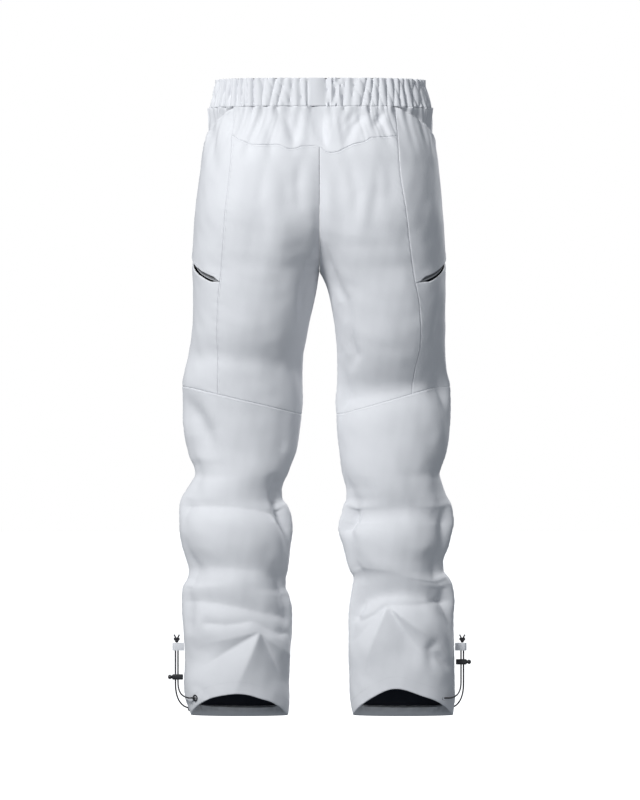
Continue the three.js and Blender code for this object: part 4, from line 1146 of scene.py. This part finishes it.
class Finish:
    """A material and the nodes that are wired into its surface."""

    def __init__(self, name, colour, roughness, **fixed):
        self.material = bpy.data.materials.new(name)
        self.material.use_nodes = True
        self.tree = self.material.node_tree
        self.surface = self.tree.nodes["Principled BSDF"]
        self.set(Base_Color=(*colour, 1), Roughness=roughness, **fixed)

    def set(self, **values):
        for key, value in values.items():
            socket = self.surface.inputs[key.replace("_", " ")]
            if isinstance(value, Wire):
                self.tree.links.new(value.socket, socket)
            else:
                socket.default_value = value

    def node(self, kind, settings, *values, output=0, **named):
        made = self.tree.nodes.new(kind)
        for key, value in settings.items():
            setattr(made, key, value)
        pairs = list(enumerate(values)) + [(k.replace("_", " "), v) for k, v in named.items()]
        for key, value in pairs:
            if isinstance(value, Wire):
                self.tree.links.new(value.socket, made.inputs[key])
            elif value is not None:
                made.inputs[key].default_value = value
        return Wire(self, made.outputs[output])

    def place(self):
        return self.node("ShaderNodeTexCoord", {}, output="Object")

    def noise(self, place, scale, detail=2.0, roughness=0.5):
        return self.node("ShaderNodeTexNoise", {}, Vector=place, Scale=scale, Detail=detail,
                         Roughness=roughness)

    def parts(self, place):
        split = self.node("ShaderNodeSeparateXYZ", {}, place)
        outputs = split.socket.node.outputs
        return [Wire(self, outputs[i]) for i in range(3)]

    def blend(self, share, first, second):
        made = self.tree.nodes.new("ShaderNodeMix")
        made.data_type = "RGBA"
        self.tree.links.new(share.socket, made.inputs[0])
        for index, value in ((6, first), (7, second)):
            if isinstance(value, Wire):
                self.tree.links.new(value.socket, made.inputs[index])
            else:
                made.inputs[index].default_value = (*value, 1)
        return Wire(self, made.outputs[2])

    def bump(self, height, strength, distance):
        return self.node("ShaderNodeBump", {}, Height=height, Strength=strength,
                         Distance=distance, output="Normal")


def scaled(colour, share):
    return tuple(c * share for c in colour)


# %% [markdown]
# A weave is two sets of fine ridges, upright and level, with a little noise so that no two
# threads are the same. The colour varies by a few hundredths over a hand's breadth.

# %% Cloth finishes
def woven(name, colour, roughness, thread_mm, depth, sheen, tint_share=0.05, fleece=0.0):
    finish = Finish(name, colour, roughness, Sheen_Weight=sheen, Sheen_Roughness=0.45,
                    Specular_IOR_Level=0.25)
    place = finish.place()
    x, y, z = finish.parts(place)
    turns = 2 * math.pi / (thread_mm * MM)
    warp = ((x + y * 0.8) * turns).sine()
    weft = (z * turns).sine()
    speckle = finish.noise(place, 900, 2, 0.6)
    cloud = finish.noise(place, 22, 3, 0.55)
    patch = finish.noise(place, 5, 2, 0.5)
    tone = speckle * 0.25 + cloud * 0.4 + patch * 0.35
    finish.set(Base_Color=finish.blend(tone, scaled(colour, 1 - tint_share),
                                       scaled(colour, 1 + tint_share)),
               Roughness=cloud * 0.12 + (roughness - 0.06))
    height = warp * weft * 0.5 + speckle * (0.6 + fleece)
    finish.set(Normal=finish.bump(height, 0.35, depth * MM))
    return finish


SHELL = (0.68, 0.69, 0.715)
BLACK = (0.021, 0.024, 0.035)
finishes = {
    "shell": woven("softshell", SHELL, roughness=0.82, thread_mm=0.9, depth=0.12, sheen=0.12),
    "lining": woven("black_fleece", BLACK, roughness=0.95, thread_mm=2.0, depth=0.5, sheen=0.25,
                    tint_share=0.4, fleece=1.5),
    "pocket_cloth": woven("tricot", (0.03, 0.034, 0.045), roughness=0.85, thread_mm=1.2,
                          depth=0.2, sheen=0.1, tint_share=0.2),
    "elastic": woven("woven_elastic", (0.78, 0.78, 0.76), roughness=0.8, thread_mm=1.6,
                     depth=0.3, sheen=0.1),
    "thread": woven("thread", scaled(SHELL, 0.93), roughness=0.7, thread_mm=0.5, depth=0.05,
                    sheen=0.1),
}
print("cloth finishes:", sorted(finishes))

# %% [markdown]
# The cord's braid follows the cord, so it is drawn on the tube's own map: two crossing sets
# of strands, one leaning each way. Painted shade darkens the grooves between the strands, and the raised
# strands are painted lighter. The zips' coils are the middle 4.6 mm of their tapes.

# %% Cord, zip, plastic and metal finishes
cord = Finish("braided_cord", (0.014, 0.014, 0.017), 0.75, Sheen_Weight=0.2)
u, v, _ = cord.parts(cord.node("ShaderNodeUVMap", {"uv_map": "along"}))
turn, rise = 2 * math.pi / (CORD * math.pi) * 4, 2 * math.pi / (1.6 * MM)
strands_and_shade = (u * turn + v * rise).sine() * (u * turn - v * rise).sine()
# Painted shade: the braid's colour is darker where its bump sinks into the grooves and lighter on the
# raised strands.
cord.set(Base_Color=cord.blend(strands_and_shade * 0.5 + 0.5, (0.006, 0.006, 0.008), (0.03, 0.03, 0.035)),
         Normal=cord.bump(strands_and_shade, 0.6, 0.25 * MM))


COIL = 4.6 * MM              # width of a zip's coil
TOOTH = 1.5 * MM


def zip_finish(name, across_line, along_line):
    finish = Finish(name, SHELL, 0.7, Specular_IOR_Level=0.3)
    x, y, z = finish.parts(finish.place())
    coil = abs(across_line(x, y, z)) < COIL / 2
    teeth = (along_line(x, y, z) * (2 * math.pi / TOOTH)).sine()
    tape = (z * (2 * math.pi / (0.9 * MM))).sine() * 0.2
    finish.set(Base_Color=finish.blend(coil, scaled(SHELL, 0.8), scaled(SHELL, 0.35)),
               Normal=finish.bump(coil * teeth + tape, 0.7, 0.3 * MM))
    return finish


finishes["cord"] = cord
finishes["fly_zip"] = zip_finish("fly_zip_tape", lambda x, y, z: x, lambda x, y, z: z)
finishes["thigh_zip"] = zip_finish(
    "thigh_zip_tape",
    lambda x, y, z: (z - ZIP_DROP) * math.cos(TILT) - y * math.sin(TILT), lambda x, y, z: y)
plastic = Finish("black_acetal", (0.012, 0.012, 0.014), 0.42, Specular_IOR_Level=0.5)
grain = plastic.noise(plastic.place(), 1400, 2, 0.6)
wear = plastic.noise(plastic.place(), 160, 3, 0.6)
plastic.set(Base_Color=plastic.blend(wear, (0.009, 0.009, 0.011), (0.022, 0.022, 0.025)),
            Roughness=wear * 0.25 + 0.32, Normal=plastic.bump(grain, 0.3, 0.05 * MM))
finishes["black_plastic"] = plastic


def metal(name, colour, roughness):
    finish = Finish(name, colour, roughness, Metallic=1.0)
    brushed = finish.noise(finish.place(), 700, 3, 0.7)
    finish.set(Base_Color=finish.blend(brushed, scaled(colour, 0.85), scaled(colour, 1.12)),
               Roughness=brushed * 0.2 + (roughness - 0.1),
               Normal=finish.bump(brushed, 0.15, 0.03 * MM))
    return finish


finishes["snap_metal"] = metal("gunmetal", (0.32, 0.33, 0.35), 0.35)
finishes["spring_steel"] = metal("drawn_wire", (0.55, 0.56, 0.57), 0.3)
for name, wanted in worn_by.items():
    piece = bpy.data.objects[name]
    kinds = wanted if isinstance(wanted, tuple) else (wanted,)
    if len(kinds) == 1:
        piece.data.materials.clear()
    for kind in kinds:
        piece.data.materials.append(finishes[kind].material)
print("finished pieces:", len(worn_by))

# %% [markdown]
# ## Floor and light
# A pale floor lies well below the hems. The room is white to the camera and gives a soft
# light from all round. A key lamp from the upper left shapes the folds of the back, a wide weak
# one fills in from the lower right, and a third lights the front.

# %% Floor, lamps and world
FLOOR = -1.32
deselect()
bpy.ops.mesh.primitive_circle_add(vertices=64, radius=26, fill_type="NGON", location=(0, 0, FLOOR))
floor = bpy.context.object
floor.name = "studio_floor"
bpy.ops.object.transform_apply(location=True, rotation=True, scale=True)
floor_finish = Finish("studio_white", (0.9, 0.9, 0.9), 0.9, Emission_Color=(1, 1, 1, 1),
                      Emission_Strength=1.0)
floor.data.materials.append(floor_finish.material)
floor.visible_diffuse = False
floor.visible_glossy = False


def lamp(name, place, aim, size, watts):
    deselect()
    bpy.ops.object.light_add(type="AREA", location=place)
    made = bpy.context.object
    made.name = name
    made.data.shape = "DISK"
    made.data.size = size
    made.data.energy = watts
    made.rotation_euler = (Vector(aim) - Vector(place)).to_track_quat("-Z", "Y").to_euler()


MIDDLE = (0, 0, -0.5)
lamp("key_lamp", (-2.3, -3.0, 2.1), MIDDLE, 1.3, 196)
lamp("fill_lamp", (1.8, -3.8, -0.9), MIDDLE, 3.0, 24)
lamp("front_key", (1.8, 2.9, 2.9), MIDDLE, 1.8, 190)

world = bpy.data.worlds.new("studio")
bpy.context.scene.world = world
world.use_nodes = True
tree = world.node_tree
tree.nodes.clear()
seen, glow, swap, rays, out = (tree.nodes.new(kind) for kind in (
    "ShaderNodeBackground", "ShaderNodeBackground", "ShaderNodeMixShader",
    "ShaderNodeLightPath", "ShaderNodeOutputWorld"))
glow.inputs["Color"].default_value = (0.82, 0.9, 1.0, 1)
glow.inputs["Strength"].default_value = 0.24
seen.inputs["Strength"].default_value = 1.0
seen.inputs["Color"].default_value = (1, 1, 1, 1)
tree.links.new(rays.outputs["Is Camera Ray"], swap.inputs[0])
tree.links.new(glow.outputs[0], swap.inputs[1])
tree.links.new(seen.outputs[0], swap.inputs[2])
tree.links.new(swap.outputs[0], out.inputs["Surface"])
